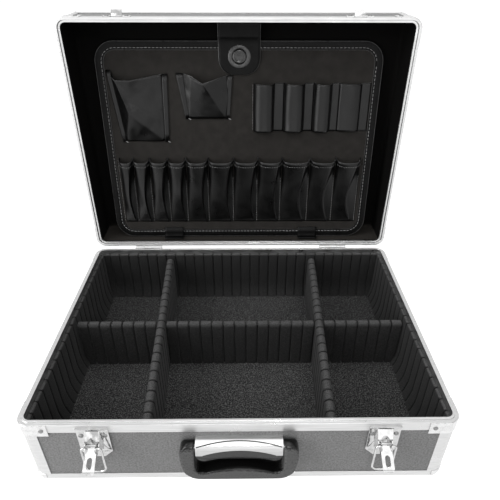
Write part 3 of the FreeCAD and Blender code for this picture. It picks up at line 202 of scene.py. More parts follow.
nickel = Finish("plated_corner", "corner", 0.3, metallic=1.0)
scuffs = nickel.clouds(4.0, 5.0)
nickel.colour(scuffs, (0.3, grey(0.6)), (0.62, grey(0.73)))
nickel.rough(scuffs, 0.2, 0.38)
nickel.relief(nickel.clouds(0.6, 2.0), 0.015, 0.5)

chrome = Finish("chrome", "bright", 0.1, metallic=1.0)
haze = chrome.clouds(6.0, 4.0)
chrome.colour(haze, (0.35, grey(0.48)), (0.65, grey(0.6)))
chrome.rough(haze, 0.07, 0.17)
chrome.relief(chrome.clouds(7.0, 1.0), 0.4, 0.5)

cover_chrome = speckled("brushed_chrome", "bright", (1.0, 4.0), ((0.3, grey(0.48)), (0.7, grey(0.58))),
                        (0.28, 0.38), (0.004, 0.3), stretch=30, metallic=1.0)
steel = speckled("satin_steel", "steel", (1.0, 4.0), ((0.3, grey(0.5)), (0.7, grey(0.66))),
                 (0.26, 0.42), (0.02, 0.4), metallic=1.0)
rivet_steel = speckled("rivet_steel", "corner", (1.4, 4.0), ((0.3, grey(0.16)), (0.7, grey(0.32))),
                       (0.24, 0.42), (0.03, 0.5), metallic=1.0)
gunmetal = speckled("gunmetal", "steel", (3.0, 4.0), ((0.3, grey(0.04)), (0.7, grey(0.08))),
                    (0.32, 0.46), (0.02, 0.4), metallic=1.0)
floor_foam = speckled("floor_foam", "floor_foam", (1.5, 5.0),
                      ((0.36, grey(0.008)), (0.5, grey(0.036)), (0.64, grey(0.12))),
                      (0.88, 0.98), (0.5, 0.9), specular=0.2)

foam = Finish("wall_foam", "foam", 0.92, specular=0.12)
pores = foam.clouds(1.1, 4.0)
# Painted light and shade: faces that look up are painted lighter and faces that look down darker, mixed with
# the pores' speckle.
foam.colour(foam.blend(pores, foam.upward(), 0.5), (0.41, grey(0.005)), (0.52, grey(0.017)),
            (0.68, grey(0.042)), (0.78, grey(0.08)))
foam.rough(pores, 0.84, 0.97)
foam.relief(pores, 0.35, 0.7).sheen(0.08)

handle_black = Finish("grained_black", "handle_black", 0.45, specular=0.3)
sand = handle_black.clouds(1.0, 2.0)
facing = handle_black.upward()
# Painted light and shade: faces that look out are painted grey and faces that look up near black, mixed with
# the real sand grain.
handle_black.colour(handle_black.blend(sand, facing, 0.6), (0.42, grey(0.014)), (0.57, grey(0.1)),
                    (0.67, grey(0.01)), (0.73, grey(0.003)))
handle_black.rough(facing, 0.62, 0.18)
handle_black.relief(sand, 0.05, 0.4)

# Polished black plastic of the handle's base and the snap's button, also the dark line on the handle's cover;
# the same finish paints the shadows along the rims' steps and in the latch openings.
polished_black_and_painted_shadow = Finish("polished_black_and_painted_shadow", "handle_black", 0.2)
swirl = polished_black_and_painted_shadow.clouds(5.0, 3.0)
polished_black_and_painted_shadow.colour(swirl, (0.35, grey(0.006)), (0.65, grey(0.014)))
polished_black_and_painted_shadow.rough(swirl, 0.14, 0.26)
polished_black_and_painted_shadow.relief(polished_black_and_painted_shadow.clouds(1.2, 2.0), 0.02, 0.3)

lining_cloth = Finish("lining_cloth", "lining_black", 0.85, specular=0.06)
nap = lining_cloth.clouds(0.7, 4.0)
# Painted light and shade: faces that look up are painted lighter and warmer, faces that look down near black,
# mixed with the nap.
lining_cloth.colour(lining_cloth.blend(nap, lining_cloth.upward(), 0.6), (0.2, grey(0.001)),
                    (0.56, grey(0.003, 0.06)), (0.8, grey(0.026, 0.1)))
lining_cloth.rough(nap, 0.75, 0.95)
lining_cloth.relief(nap, 0.15, 0.5)


def leather(name, dark, light, roughness, warm=0.0, specular=0.5):
    """Leatherette: pebbled grain, with gloss and tint that wander."""
    made = Finish(name, "leatherette", roughness, specular=specular)
    made.colour(made.clouds(11.0, 4.0), (0.32, grey(dark, warm)), (0.68, grey(light, warm)))
    made.rough(made.clouds(16.0, 3.0), roughness - 0.06, roughness + 0.06)
    return made.relief(made.cells(1.1), 0.16, 0.4)


board_skin = leather("pallet_leatherette", 0.017, 0.023, 0.7, 0.08, 0.1)
pocket_skin = leather("pocket_leatherette", 0.001, 0.003, 0.33, 0.0, 0.3)
binding_skin = leather("binding_leatherette", 0.001, 0.003, 0.36, 0.0, 0.1)
# Painted highlight: a lighter leatherette for the thin tubes along hems and edges, where light catches them.
edge_highlight_skin = leather("folded_edge_painted_highlight", 0.016, 0.035, 0.3)
thread = leather("thread", 0.18, 0.34, 0.6)


# Meshes

def piece(name, points, faces, finish, body, nodes=(), sharp=40.0):
    """A named mesh riding on a body, in place of the frame nodes given."""
    mesh = bpy.data.meshes.new(name)
    mesh.from_pydata([Vector(point) * MM for point in points], [], faces)
    return dressed(bpy.data.objects.new(name, mesh), finish, body, nodes, sharp)


def dressed(made, finish, body, nodes=(), sharp=40.0):
    """Puts a mesh object in the scene with its finish, its body and the nodes it stands for."""
    shape = bmesh.new()
    shape.from_mesh(made.data)
    bmesh.ops.recalc_face_normals(shape, faces=shape.faces)
    shape.to_mesh(made.data)
    shape.free()
    bpy.context.collection.objects.link(made)
    made.data.materials.clear()
    made.data.materials.append(finish.material)
    made.data.shade_smooth()
    made.data.set_sharp_from_angle(angle=math.radians(sharp))
    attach(made, body)
    if nodes:
        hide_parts(*nodes)
    return made


def grid_faces(rows, columns, first=0, around=False):
    """Quads of a grid of points laid row by row, closed round its columns when asked."""
    faces = []
    for row in range(rows - 1):
        for column in range(columns if around else columns - 1):
            here = first + row * columns + column
            beside = first + row * columns + (column + 1) % columns
            faces.append((here, beside, beside + columns, here + columns))
    return faces


def circle(centre, side, other, radius, sides):
    """Points round a centre, in the plane of two directions."""
    turns = [math.tau * k / sides for k in range(sides)]
    return [centre + (side * math.cos(a) + other * math.sin(a)) * radius for a in turns]


class Heap:
    """Points and faces of many small shapes that become one piece."""

    def __init__(self):
        self.points = []
        self.faces = []

    def grid(self, rows, around=False, cap_ends=False):
        first = len(self.points)
        columns = len(rows[0])
        for row in rows:
            self.points.extend(row)
        self.faces.extend(grid_faces(len(rows), columns, first, around))
        if cap_ends:
            last = first + (len(rows) - 1) * columns
            self.faces.append(tuple(reversed(range(first, first + columns))))
            self.faces.append(tuple(range(last, last + columns)))
        return self

    def tube(self, path, radius, sides=8, closed=False):
        """A round bar along a path."""
        path = [Vector(point) for point in path]
        count = len(path)
        rings = []
        side = None
        for index, point in enumerate(path):
            before = path[index - 1] if index or closed else point
            after = path[(index + 1) % count] if index + 1 < count or closed else point
            ahead = (after - before).normalized()
            if side is None:
                side = ahead.orthogonal().normalized()
            side = (side - ahead * side.dot(ahead)).normalized()
            rings.append(circle(point, side, ahead.cross(side), radius, sides))
        if closed:
            rings.append(rings[0])
        return self.grid(rings, around=True, cap_ends=not closed)

    def turned(self, centre, axis, profile, sides=24):
        """A turned shape: profile pairs of radius and height, from the rim to the middle."""
        axis = Vector(axis).normalized()
        side = axis.orthogonal().normalized()
        rings = [circle(centre + axis * height, side, axis.cross(side), radius, sides)
                 for radius, height in profile]
        return self.grid(rings, around=True, cap_ends=True)

    def stitches(self, path, pitch=4.4, length=2.9, radius=0.36):
        """Thread dashes along a path of points."""
        path = [Vector(point) for point in path]
        lengths = [0.0]
        for start, end in zip(path, path[1:]):
            lengths.append(lengths[-1] + (end - start).length)

        def along(distance):
            for index in range(len(path) - 1):
                if distance <= lengths[index + 1]:
                    share = (distance - lengths[index]) / max(lengths[index + 1] - lengths[index], 1e-6)
                    return path[index].lerp(path[index + 1], share)
            return path[-1]

        at = pitch / 2
        while at + length < lengths[-1]:
            self.tube([along(at), along(at + length * 0.15), along(at + length * 0.85), along(at + length)],
                      radius, 6)
            at += pitch

    def piece(self, name, finish, body, nodes=(), sharp=40.0):
        return piece(name, self.points, self.faces, finish, body, nodes, sharp)


def painted(node, finish):
    """Gives a frame node its finish as it stands."""
    plain = frame["nodes"][node]
    plain.data.materials.clear()
    plain.data.materials.append(finish.material)


def solid_sheet(made, thickness):
    """Gives a skin its thickness, behind its face."""
    shell = made.modifiers.new("thickness", "SOLIDIFY")
    shell.thickness = thickness * MM
    shell.offset = -1.0
    return made


WELD = 0.002


def eased(node, width, finish, segments=2, sharp=30.0):
    """A copy of a frame node with its edges rounded off."""
    mesh = frame["nodes"][node].data.copy()
    shape = bmesh.new()
    shape.from_mesh(mesh)
    bmesh.ops.remove_doubles(shape, verts=shape.verts, dist=WELD * MM)
    bmesh.ops.dissolve_limit(shape, angle_limit=math.radians(1.0), verts=shape.verts, edges=shape.edges)
    shape.to_mesh(mesh)
    shape.free()
    made = dressed(bpy.data.objects.new(node + "_eased", mesh), finish, BODY_OF[node], [node], sharp)
    bevel = made.modifiers.new("eased edges", "BEVEL")
    bevel.width = width * MM
    bevel.segments = segments
    bevel.limit_method = "ANGLE"
    bevel.angle_limit = math.radians(sharp)
    bevel.harden_normals = True
    return made


def islands(node):
    """Boxes of the separate bodies in a frame node, as pairs of low and high corner in millimetres."""
    shape = bmesh.new()
    shape.from_mesh(frame["nodes"][node].data)
    bmesh.ops.remove_doubles(shape, verts=shape.verts, dist=WELD * MM)
    left = set(shape.verts)
    boxes = []
    while left:
        reached = [left.pop()]
        group = []
        while reached:
            vertex = reached.pop()
            group.append(vertex.co / MM)
            for edge in vertex.link_edges:
                other = edge.other_vert(vertex)
                if other in left:
                    left.remove(other)
                    reached.append(other)
        low = Vector(min(point[axis] for point in group) for axis in range(3))
        high = Vector(max(point[axis] for point in group) for axis in range(3))
        boxes.append((low, high))
    shape.free()
    return sorted(boxes, key=lambda pair: tuple(round(value, 2) for value in pair[0]))


def ripple(point, size, height):
    """Unevenness of about `height`, in lumps of about `size`."""
    return height * noise.noise(Vector(point) / size)


CORNER_STEPS = 5


def rounded_rectangle(low_x, low_z, high_x, high_z, radius, steps=CORNER_STEPS):
    """Outline points, anticlockwise seen from the front."""
    points = []
    corners = ((high_x - radius, high_z - radius, 0), (low_x + radius, high_z - radius, 90),
               (low_x + radius, low_z + radius, 180), (high_x - radius, low_z + radius, 270))
    for centre_x, centre_z, start in corners:
        for step in range(steps + 1):
            angle = math.radians(start + 90 * step / steps)
            points.append((centre_x + radius * math.cos(angle), centre_z + radius * math.sin(angle)))
    return points


# Boards, frame and fittings

for shell in ("base", "lid"):
    cover = "bottom" if shell == "base" else "top"
    for side in (cover, "front", "back", "left", "right"):
        painted(f"{shell}_{side}_panel", laminate)
    eased(f"{shell}_rim", 0.35, aluminium)
    eased(f"{shell}_corner_posts", 0.3, aluminium)
    eased(f"{shell}_edge_profiles", 0.4, aluminium)
    eased(f"{shell}_corner_caps", 0.5, nickel)
    eased(f"{shell}_rim_brackets", 0.25, nickel)

RIM_CORNER = 13.5
RIM_STEP = {"base": (3.4, 1.5), "lid": (3.0, 2.4)}
RIM_LINE = 0.45
RIM_SINK = 0.3
RIM_CORNER_STEPS = 8


def rim_shadow_line(shell):
    """A painted shadow: a dark tube along the step of a rim, in which the other half of the case seats."""
    low, high = node_box(f"{shell}_rim")
    inset, depth = RIM_STEP[shell]
    axis = 1 if shell == "base" else 2
    outline = rounded_rectangle(low.x + inset, low[axis] + inset, high.x - inset, high[axis] - inset,
                                RIM_CORNER - inset, RIM_CORNER_STEPS)
    if shell == "base":
        path = [Vector((x, y, high.z - depth - RIM_SINK)) for x, y in outline]
    else:
        path = [Vector((x, low.y + depth, z)) for x, z in outline]
    Heap().tube(path, RIM_LINE, 6, closed=True).piece(f"{shell}_rim_shadow_line", polished_black_and_painted_shadow, shell)


rim_shadow_line("base")
rim_shadow_line("lid")

for side in ("left", "right"):
    eased(f"latch_plate_{side}", 0.25, chrome)
    eased(f"latch_lever_{side}", 0.3, chrome)
eased("latch_keepers", 0.25, chrome)

SLOT_HALF = 6.3
SLOT_TOP = 2.8
SLOT_FOOT = 13.4
SLOT_STEPS = 6
SLOT_SINK = 0.2
SLOT_DISH = 0.4


def latch_slot_shadow(side):
    """A painted shadow: a dark dished sheet in the opening of a latch's plate, from which its hood is pressed
    out.
    """
    low, high = node_box(f"latch_plate_{side}")
    middle = (low.x + high.x) / 2
    rows = []
    for z in spaced(high.z - SLOT_FOOT, high.z - SLOT_TOP, SLOT_STEPS):
        rows.append([Vector((middle + x, high.y - SLOT_SINK - SLOT_DISH * (x / SLOT_HALF) ** 2, z))
                     for x in spaced(-SLOT_HALF, SLOT_HALF, SLOT_STEPS)])
    Heap().grid(rows).piece(f"latch_slot_shadow_{side}", polished_black_and_painted_shadow, "base")


latch_slot_shadow("left")
latch_slot_shadow("right")
eased("hinge_base_leaves", 0.2, steel)
eased("hinge_lid_leaves", 0.2, steel)
for node in ("latch_pins", "hinge_pins", "handle_rod"):
    painted(node, steel)

CASE_MIDDLE = {"base": Vector((0, 0, 60)), "lid": Vector((0, 200, 262))}
RIVET_FORM = ((1.0, 0.0), (1.0, 0.35), (0.86, 0.72), (0.55, 0.94), (0.2, 1.0), (0.03, 1.0))


def rivets(node, shell):
    """Domed rivet heads where the frame has its plain ones."""
    heads = Heap()
    for low, high in islands(node):
        size = high - low
        axis = min(range(3), key=lambda k: size[k])
        centre = (low + high) / 2
        outward = Vector((0, 0, 0))
        outward[axis] = math.copysign(1, centre[axis] - CASE_MIDDLE[shell][axis])
        radius = max(size) / 2
        profile = [(radius * across, size[axis] * up) for across, up in RIVET_FORM]
        heads.turned(centre - outward * size[axis] / 2, outward, profile, 20)
    heads.piece(node + "_domed", rivet_steel, shell, [node])


rivets("base_rivets", "base")
rivets("lid_rivets", "lid")

BAIL_RADIUS = 1.2
BAIL_CORNER = 7.0
BAIL_SHOULDER = 2.6
BAIL_EYE = 4.6
BAIL_BEND_STEPS = 8


def bail(side):
    """The latch's wire loop: two eyes, two legs and a crossbar with round bends."""
    node = f"latch_bail_{side}"
    low, high = node_box(node)
    middle = (low + high) / 2
    half = (high.x - low.x) / 2 - BAIL_RADIUS
    top = high.z - BAIL_RADIUS
    bottom = low.z + BAIL_RADIUS
    path = [Vector((half - BAIL_EYE, middle.y, top))]

    def bend(centre_x, centre_z, radius, start):
        for step in range(BAIL_BEND_STEPS + 1):
            angle = start - math.pi / 2 * step / BAIL_BEND_STEPS
            path.append(Vector((centre_x + radius * math.cos(angle), middle.y,
                                centre_z + radius * math.sin(angle))))

    bend(half - BAIL_SHOULDER, top - BAIL_SHOULDER, BAIL_SHOULDER, math.pi / 2)
    bend(half - BAIL_CORNER, bottom + BAIL_CORNER, BAIL_CORNER, 0.0)
    path += [Vector((-point.x, point.y, point.z)) for point in reversed(path)]
    wire = Heap().tube([point + Vector((middle.x, 0, 0)) for point in path], BAIL_RADIUS, 14)
    wire.piece(node + "_wire", chrome, node, [node])


bail("left")
bail("right")

# Handle

eased("handle_base", 0.6, polished_black_and_painted_shadow, 3)
eased("handle_cover", 0.4, cover_chrome, 3)

LOOP_STRAIGHT = 20.0
LOOP_LIFT = 9.0
LOOP_BAR = 14.0
LOOP_GRAIN = 1.1
LOOP_PASSES = 20


def handle_loop():
    """The swinging loop with its lower corners swept up and every edge run soft, as a moulding's are."""
    low, high = node_box("handle_loop")
    mesh = frame["nodes"]["handle_loop"].data.copy()
    for vertex in mesh.vertices:
        outward = max(0.0, abs(vertex.co.x) / MM - LOOP_STRAIGHT) / (high.x - LOOP_STRAIGHT)
        downward = max(0.0, low.z + LOOP_BAR - vertex.co.z / MM) / LOOP_BAR
        vertex.co.z += LOOP_LIFT * outward ** 2 * downward * MM
    made = dressed(bpy.data.objects.new("handle_loop_moulded", mesh), handle_black, "handle",
                   ["handle_loop"], 180.0)
    remesh = made.modifiers.new("even mesh", "REMESH")
    remesh.mode = "VOXEL"
    remesh.voxel_size = LOOP_GRAIN * MM
    remesh.use_smooth_shade = True
    smooth = made.modifiers.new("soft edges", "SMOOTH")
    smooth.factor = 0.5
    smooth.iterations = LOOP_PASSES


handle_loop()

COVER_LINE_LOW = -6.7
COVER_LINE_ARCH = 6.4
COVER_LINE_STEPS = 48
COVER_LINE_END = 1.2
COVER_LINE_RADIUS = 0.6


def cover_line():
    """The dark line pressed into the handle's cover, alongside its arched lower edge."""
    low, high = node_box("handle_cover")
    half = high.x - COVER_LINE_END
    mesh = frame["nodes"]["handle_cover"].data
    surface = BVHTree.FromPolygons([vertex.co / MM for vertex in mesh.vertices],
                                   [tuple(face.vertices) for face in mesh.polygons])
    inward = Vector((0, 0.6, -0.8))
    upward = Vector((0, 0.8, 0.6))
    points = []
    for x in spaced(-half, half, COVER_LINE_STEPS):
        start = Vector((x, high.y, (low.z + high.z) / 2)) - inward * 50
        start += upward * (COVER_LINE_LOW + COVER_LINE_ARCH * (1 - (x / half) ** 2))
        points.append(surface.ray_cast(start, inward)[0])
    Heap().tube(points, COVER_LINE_RADIUS, 8).piece("handle_cover_line", polished_black_and_painted_shadow, "base")


cover_line()


# Foam lining of the base

floor_low, floor_high = node_box("floor_liner")
wall_low, wall_high = node_box("left_wall_liner")
LINER_THICKNESS = 5.0
LINER_FOOT = 6.0
LINER_FOOT_HEIGHT = 30.0
GROOVE_PITCH = 15.0
GROOVE_SHAPE = ((0.0, 3.4), (0.75, 3.3), (0.95, 0.6), (1.3, 0.15), (2.4, 0.0))
LINER_EDGE = 1.6
DIVIDER_GAP = 0.7
foot_radius = (LINER_FOOT ** 2 + LINER_FOOT_HEIGHT ** 2) / (2 * LINER_FOOT)
room_x = floor_high.x
room_y = floor_high.y
liner_bottom = wall_low.z
liner_top = wall_high.z


def liner_depth(height):
    """How far the wall foam stands into the room at a height, its flared foot included."""
    below = max(0.0, liner_bottom + LINER_FOOT_HEIGHT - height)
    return LINER_THICKNESS + foot_radius - math.sqrt(max(0.0, foot_radius ** 2 - below ** 2))


def grooved_columns(half):
    """Places along a length of foam with how deep the surface is cut there."""
    columns = []
    count = max(1, round(2 * half / GROOVE_PITCH))
    pitch = 2 * half / count
    for index in range(count + 1):
        centre = -half + index * pitch
        for offset, cut in reversed(GROOVE_SHAPE):
            if offset and index:
                columns.append((centre - offset, cut))
        for offset, cut in GROOVE_SHAPE:
            if index < count or not offset:
                columns.append((centre + offset, cut))
        if index < count:
            columns.append((centre + pitch / 2, 0.0))
    return columns


def wall_section():
    """Outline of the wall foam from its toe up and over its top: depth, height and the way it faces."""
    section = []
    for step in range(9):
        height = liner_bottom + LINER_FOOT_HEIGHT * step / 8
        lean = math.asin((liner_bottom + LINER_FOOT_HEIGHT - height) / foot_radius)
        section.append((liner_depth(height), height, math.cos(lean), math.sin(lean)))
    for height in (liner_bottom + 45, liner_bottom + 60, liner_top - LINER_EDGE):
        section.append((LINER_THICKNESS, height, 1.0, 0.0))
    for step in range(1, 4):
        angle = math.pi / 2 * step / 3
        section.append((LINER_THICKNESS - LINER_EDGE + LINER_EDGE * math.cos(angle),
                        liner_top - LINER_EDGE + LINER_EDGE * math.sin(angle),
                        math.cos(angle), math.sin(angle)))
    return section


def grooved(name, node, section, columns, place, shut):
    """A length of foam with cuts across it. `place` sets a point by its place along, depth and height."""
    rows = []
    for depth, height, out, up in section:
        row = []
        for along, cut in columns:
            bump = ripple((along, depth * 3, height), 14.0, 0.2)
            row.append(place(along, depth - (cut - bump) * out, height - (cut - bump) * up))
        rows.append(row)
    rows.extend(shut(columns))
    body = Heap().grid([list(column) for column in zip(*rows)], around=True, cap_ends=True)
    made = body.piece(name, foam, "base", [node], sharp=60.0)


def wall_liner(side):
    """Foam along one wall, mitred against its neighbours."""
    sign = 1 if side in ("right", "back") else -1
    along_x = side in ("front", "back")
    half = room_x if along_x else room_y
    across = room_y if along_x else room_x

    def place(along, depth, height):
        reach = half - max(depth, 0.0)
        along = max(-reach, min(reach, along))
        out = sign * (across - depth)
        return Vector((along, out, height)) if along_x else Vector((out, along, height))

    def shut(columns):
        return [[place(along, 0.0, height) for along, cut in columns]
                for height in (liner_top - 0.4, liner_bottom)]

    grooved(f"{side}_wall_foam", f"{side}_wall_liner", wall_section(), grooved_columns(half), place, shut)


for side in ("front", "back", "left", "right"):
    wall_liner(side)


def divider_section(half, bottom, top):
    """Outline over a divider: up one face, round its top and down the other."""
    rise = [bottom + (top - half - bottom) * step / 4 for step in range(5)]
    section = [(-half, height, -1.0, 0.0) for height in rise]
    for step in range(1, 8):
        angle = math.pi - math.pi * step / 8
        section.append((half * math.cos(angle), top - half + half * math.sin(angle),
                        math.cos(angle), math.sin(angle)))
    section += [(half, height, 1.0, 0.0) for height in reversed(rise)]
    return section


def long_divider(side):
    """A divider from front to back, standing a little askew."""
    node = f"{side}_divider"
    low, high = node_box(node)
    half = (high.y - low.y) / 2
    thickness = node_box("cross_divider_middle")[1].y - node_box("cross_divider_middle")[0].y
    middle = (low.x + high.x) / 2
    skew = (high.x - low.x - thickness) / 2 * (1 if side == "right" else -1)

    def place(along, depth, height):
        reach = room_y - liner_depth(height) - DIVIDER_GAP
        along = max(-reach, min(reach, along))
        return Vector((middle + skew * along / half + depth, along, height))

    grooved(f"{side}_divider_foam", node, divider_section(thickness / 2, low.z, high.z),
            grooved_columns(half), place, lambda columns: [])


def cross_divider(side):
    """A divider from wall to divider, or between the two long ones."""
    node = f"cross_divider_{side}"
    low, high = node_box(node)
    half = (high.x - low.x) / 2
    middle = (low + high) / 2

    def place(along, depth, height):
        reach = room_x - liner_depth(height) - DIVIDER_GAP
        return Vector((max(-reach, min(reach, middle.x + along)), middle.y + depth, height))

    grooved(f"cross_divider_{side}_foam", node, divider_section((high.y - low.y) / 2, low.z, high.z),
            grooved_columns(half), place, lambda columns: [])


long_divider("left")
long_divider("right")
for side in ("left", "middle", "right"):
    cross_divider(side)

FLOOR_STEP = 8.0
FLOOR_SKIN = 2.6
steps_x = round(2 * room_x / FLOOR_STEP)
steps_y = round(2 * room_y / FLOOR_STEP)
floor_rows = []
for y in spaced(-room_y, room_y, steps_y):
    floor_rows.append([Vector((x, y, floor_high.z - 0.2 + ripple((x, y, 0), 30.0, 0.2)))
                       for x in spaced(-room_x, room_x, steps_x)])
floor_piece = Heap().grid(floor_rows).piece("floor_foam_sheet", floor_foam, "base", ["floor_liner"])
solid_sheet(floor_piece, FLOOR_SKIN)


# Lid lining

lining_low, lining_high = node_box("lid_lining")
LINING = 1.0
LINING_CORNER = 5.0


def lining_ring(inset, y, radius):
    outline = rounded_rectangle(lining_low.x + inset, lining_low.z + inset, lining_high.x - inset,
                                lining_high.z - inset, radius)
    return [Vector((x, y, z)) for x, z in outline]


tray_back = lining_high.y - LINING
lining_tray = Heap().grid([
    lining_ring(0.0, lining_high.y, 0.5),
    lining_ring(0.0, lining_low.y + 0.3, 0.5),
    lining_ring(LINING / 2, lining_low.y, 0.9),
    lining_ring(LINING, lining_low.y + 0.3, 1.4),
    lining_ring(LINING, tray_back - 6.0, LINING_CORNER * 0.5),
    lining_ring(LINING + 0.6, tray_back - 2.2, LINING_CORNER * 0.7),
    lining_ring(LINING + 2.2, tray_back - 0.6, LINING_CORNER * 0.9),
    lining_ring(LINING + 6.0, tray_back, LINING_CORNER),
], around=True, cap_ends=True)
lining_piece = lining_tray.piece("lid_lining_cloth", lining_cloth, "lid", ["lid_lining"])


# Tool pallet

PALLET_THICKNESS = 4.0
PALLET_RADIUS = 28.0
PALLET_CORNER_STEPS = 10
LEAN_ROUNDS = 20
pallet_low, pallet_high = node_box("tool_pallet")
rise = pallet_high.z - pallet_low.z
back = pallet_high.y - pallet_low.y
lean = 0.0
for attempt in range(LEAN_ROUNDS):
    lean = math.atan2(back - PALLET_THICKNESS * math.cos(lean), rise - PALLET_THICKNESS * math.sin(lean))
foot_y = pallet_low.y
foot_z = pallet_low.z + PALLET_THICKNESS * math.sin(lean)
pallet_height = (rise - PALLET_THICKNESS * math.sin(lean)) / math.cos(lean)
pallet_half = pallet_high.x


def pallet(x, up, out):
    """A point by its place across the pallet, up its face and out from it."""
    return Vector((x, foot_y - out * math.cos(lean) + up * math.sin(lean),
                   foot_z + out * math.sin(lean) + up * math.cos(lean)))


def pallet_outline(inset, out):
    radius = max(PALLET_RADIUS - inset, 1.0)
    outline = rounded_rectangle(-pallet_half + inset, inset, pallet_half - inset, pallet_height - inset, radius,
                                PALLET_CORNER_STEPS)
    return [pallet(x, up, out) for x, up in outline]


board = Heap().grid([pallet_outline(0.4, -PALLET_THICKNESS), pallet_outline(0.0, -3.6),
                     pallet_outline(0.0, -0.5), pallet_outline(0.5, 0.0)], around=True, cap_ends=True)
board_piece = board.piece("tool_pallet_board", board_skin, "lid", ["tool_pallet"])

BINDING_WIDTH = 12.0
BINDING_STITCH = 9.0
BINDING_SECTION = ((BINDING_WIDTH, 0.02), (BINDING_WIDTH, 0.55), (11.3, 0.8), (9.7, 0.75),
                   (BINDING_STITCH, 0.45), (8.3, 0.75), (6.0, 0.85), (2.0, 0.8), (0.2, 0.55),
                   (-0.35, -0.3), (-0.35, -2.6), (0.0, -2.8))
binding = Heap().grid([pallet_outline(inset, out) for inset, out in BINDING_SECTION], around=True)
binding_piece = binding.piece("pallet_binding_tape", binding_skin, "lid", ["pallet_binding"])
binding_stitches = Heap()
stitch_line = pallet_outline(BINDING_STITCH, 0.62)
binding_stitches.stitches(stitch_line + stitch_line[:1], 5.2, 3.2, 0.45)
# The thin lighter tubes along the binding's edges are painted highlights.
binding_edges = Heap()
for inset, out in ((0.6, 0.75), (BINDING_WIDTH - 0.4, 0.6)):
    binding_edges.tube(pallet_outline(inset, out), 0.4, 6, closed=True)
binding_edge = binding_edges.piece("pallet_binding_edges", edge_highlight_skin, "lid")
binding_thread = binding_stitches.piece("pallet_binding_stitches", thread, "lid")


def wave(index, seed):
    """A steady number from -1 to 1 for each pocket, so that no two are alike."""
    return math.sin(index * 12.9898 + seed * 78.233)


POCKET_WIDTHS = (21.2, 24.4, 27.2, 27.2, 33.1, 38.5, 36.8, 36.0, 42.5, 38.8, 37.4)
POCKET_LOW = 26.0
POCKET_HIGH = 130.2
POCKET_DEPTH = 13.2
POCKET_FOOT_DEPTH = 1.6
LOOP_WIDTHS = (43.0, 42.0, 36.0, 44.0)
LOOP_LOW = 170.0
LOOP_HIGH = 237.0
LOOP_DEPTH = 13.2
SEWN_SHEET = 1.0
SEWN_ROWS = 28
SEWN_COLUMNS = 40


def seams(node, widths):
    """Places across the pallet where a row of pockets is sewn down."""
    low, high = node_box(node)
    scale = (high.x - low.x - 1.2) / sum(widths)
    places = [low.x + 0.6]
    for width in widths:
        places.append(places[-1] + width * scale)
    return places


def bellows(share, squareness):
    """A full, rounded girth: how far across, and how far out of its whole depth."""
    cosine = math.cos(math.pi * share)
    across = math.copysign(abs(cosine) ** (2 / squareness), cosine)
    return (1 - across) / 2, math.sin(math.pi * share) ** (2 / squareness)


def fold(share, ridge):
    """A girth folded to one ridge: a broad face up to it, a sheer one behind and a flat strip to the seam."""
    if share < 0.64:
        climb = share / 0.64
        return ridge * climb, climb ** 0.8
    if share < 0.8:
        fall = (share - 0.64) / 0.16
        return ridge + 0.02 * fall, 1 - 0.9 * fall
    rest = (share - 0.8) / 0.2
    return ridge + 0.02 + (0.98 - ridge) * rest, 0.1 * (1 - rest)


def eased_line(points, passes=2):
    """Rounds the corners off a line of pairs, with its ends held."""
    for turn in range(passes):
        inner = [tuple((a + 2 * b + c) / 4 for a, b, c in zip(before, here, after))
                 for before, here, after in zip(points, points[1:], points[2:])]
        points = [points[0]] + inner + [points[-1]]
    return points


def pocket_girth(index, climb):
    """Girth of a pocket at a height: full at its mouth, folded to a ridge that runs to a lower corner."""
    mouth_ridge = 0.88 + 0.06 * wave(index, 1)
    middle_ridge = 0.54 + 0.15 * wave(index, 2)
    away = abs(climb - 0.45) / 0.55
    end_ridge = 0.94 if climb < 0.45 else mouth_ridge
    ridge = middle_ridge + (end_ridge - middle_ridge) * min(away, 1.0) ** 1.8
    fullness = climb ** 2.4
    girth = []
    for column in range(SEWN_COLUMNS + 1):
        share = column / SEWN_COLUMNS
        round_x, round_out = bellows(share, 2.8)
        fold_x, fold_out = fold(share, ridge)
        girth.append((fold_x + (round_x - fold_x) * fullness, fold_out + (round_out - fold_out) * fullness))
    depth = POCKET_FOOT_DEPTH + (POCKET_DEPTH - POCKET_FOOT_DEPTH) * climb ** 0.6
    return [(x, out * depth) for x, out in eased_line(girth, 1)]


def loop_girth(index, climb):
    """Girth of a loop: a hump at its left and a flat strip to the seam; the last one lies nearly flat."""
    hump = 0.7 + 0.05 * wave(index, 4)
    girth = []
    for column in range(SEWN_COLUMNS + 1):
        share = column / SEWN_COLUMNS
        if share < 0.82:
            across, out = bellows(share / 0.82, 2.2)
            girth.append((hump * across, out))
        else:
            girth.append((hump + (1 - hump) * (share - 0.82) / 0.18, 0.0))
    depth = LOOP_DEPTH * (0.35 if index == 3 else 0.95) * (1 - 0.08 * math.sin(math.pi * climb))
    return [(x, out * depth) for x, out in eased_line(girth, 2)]


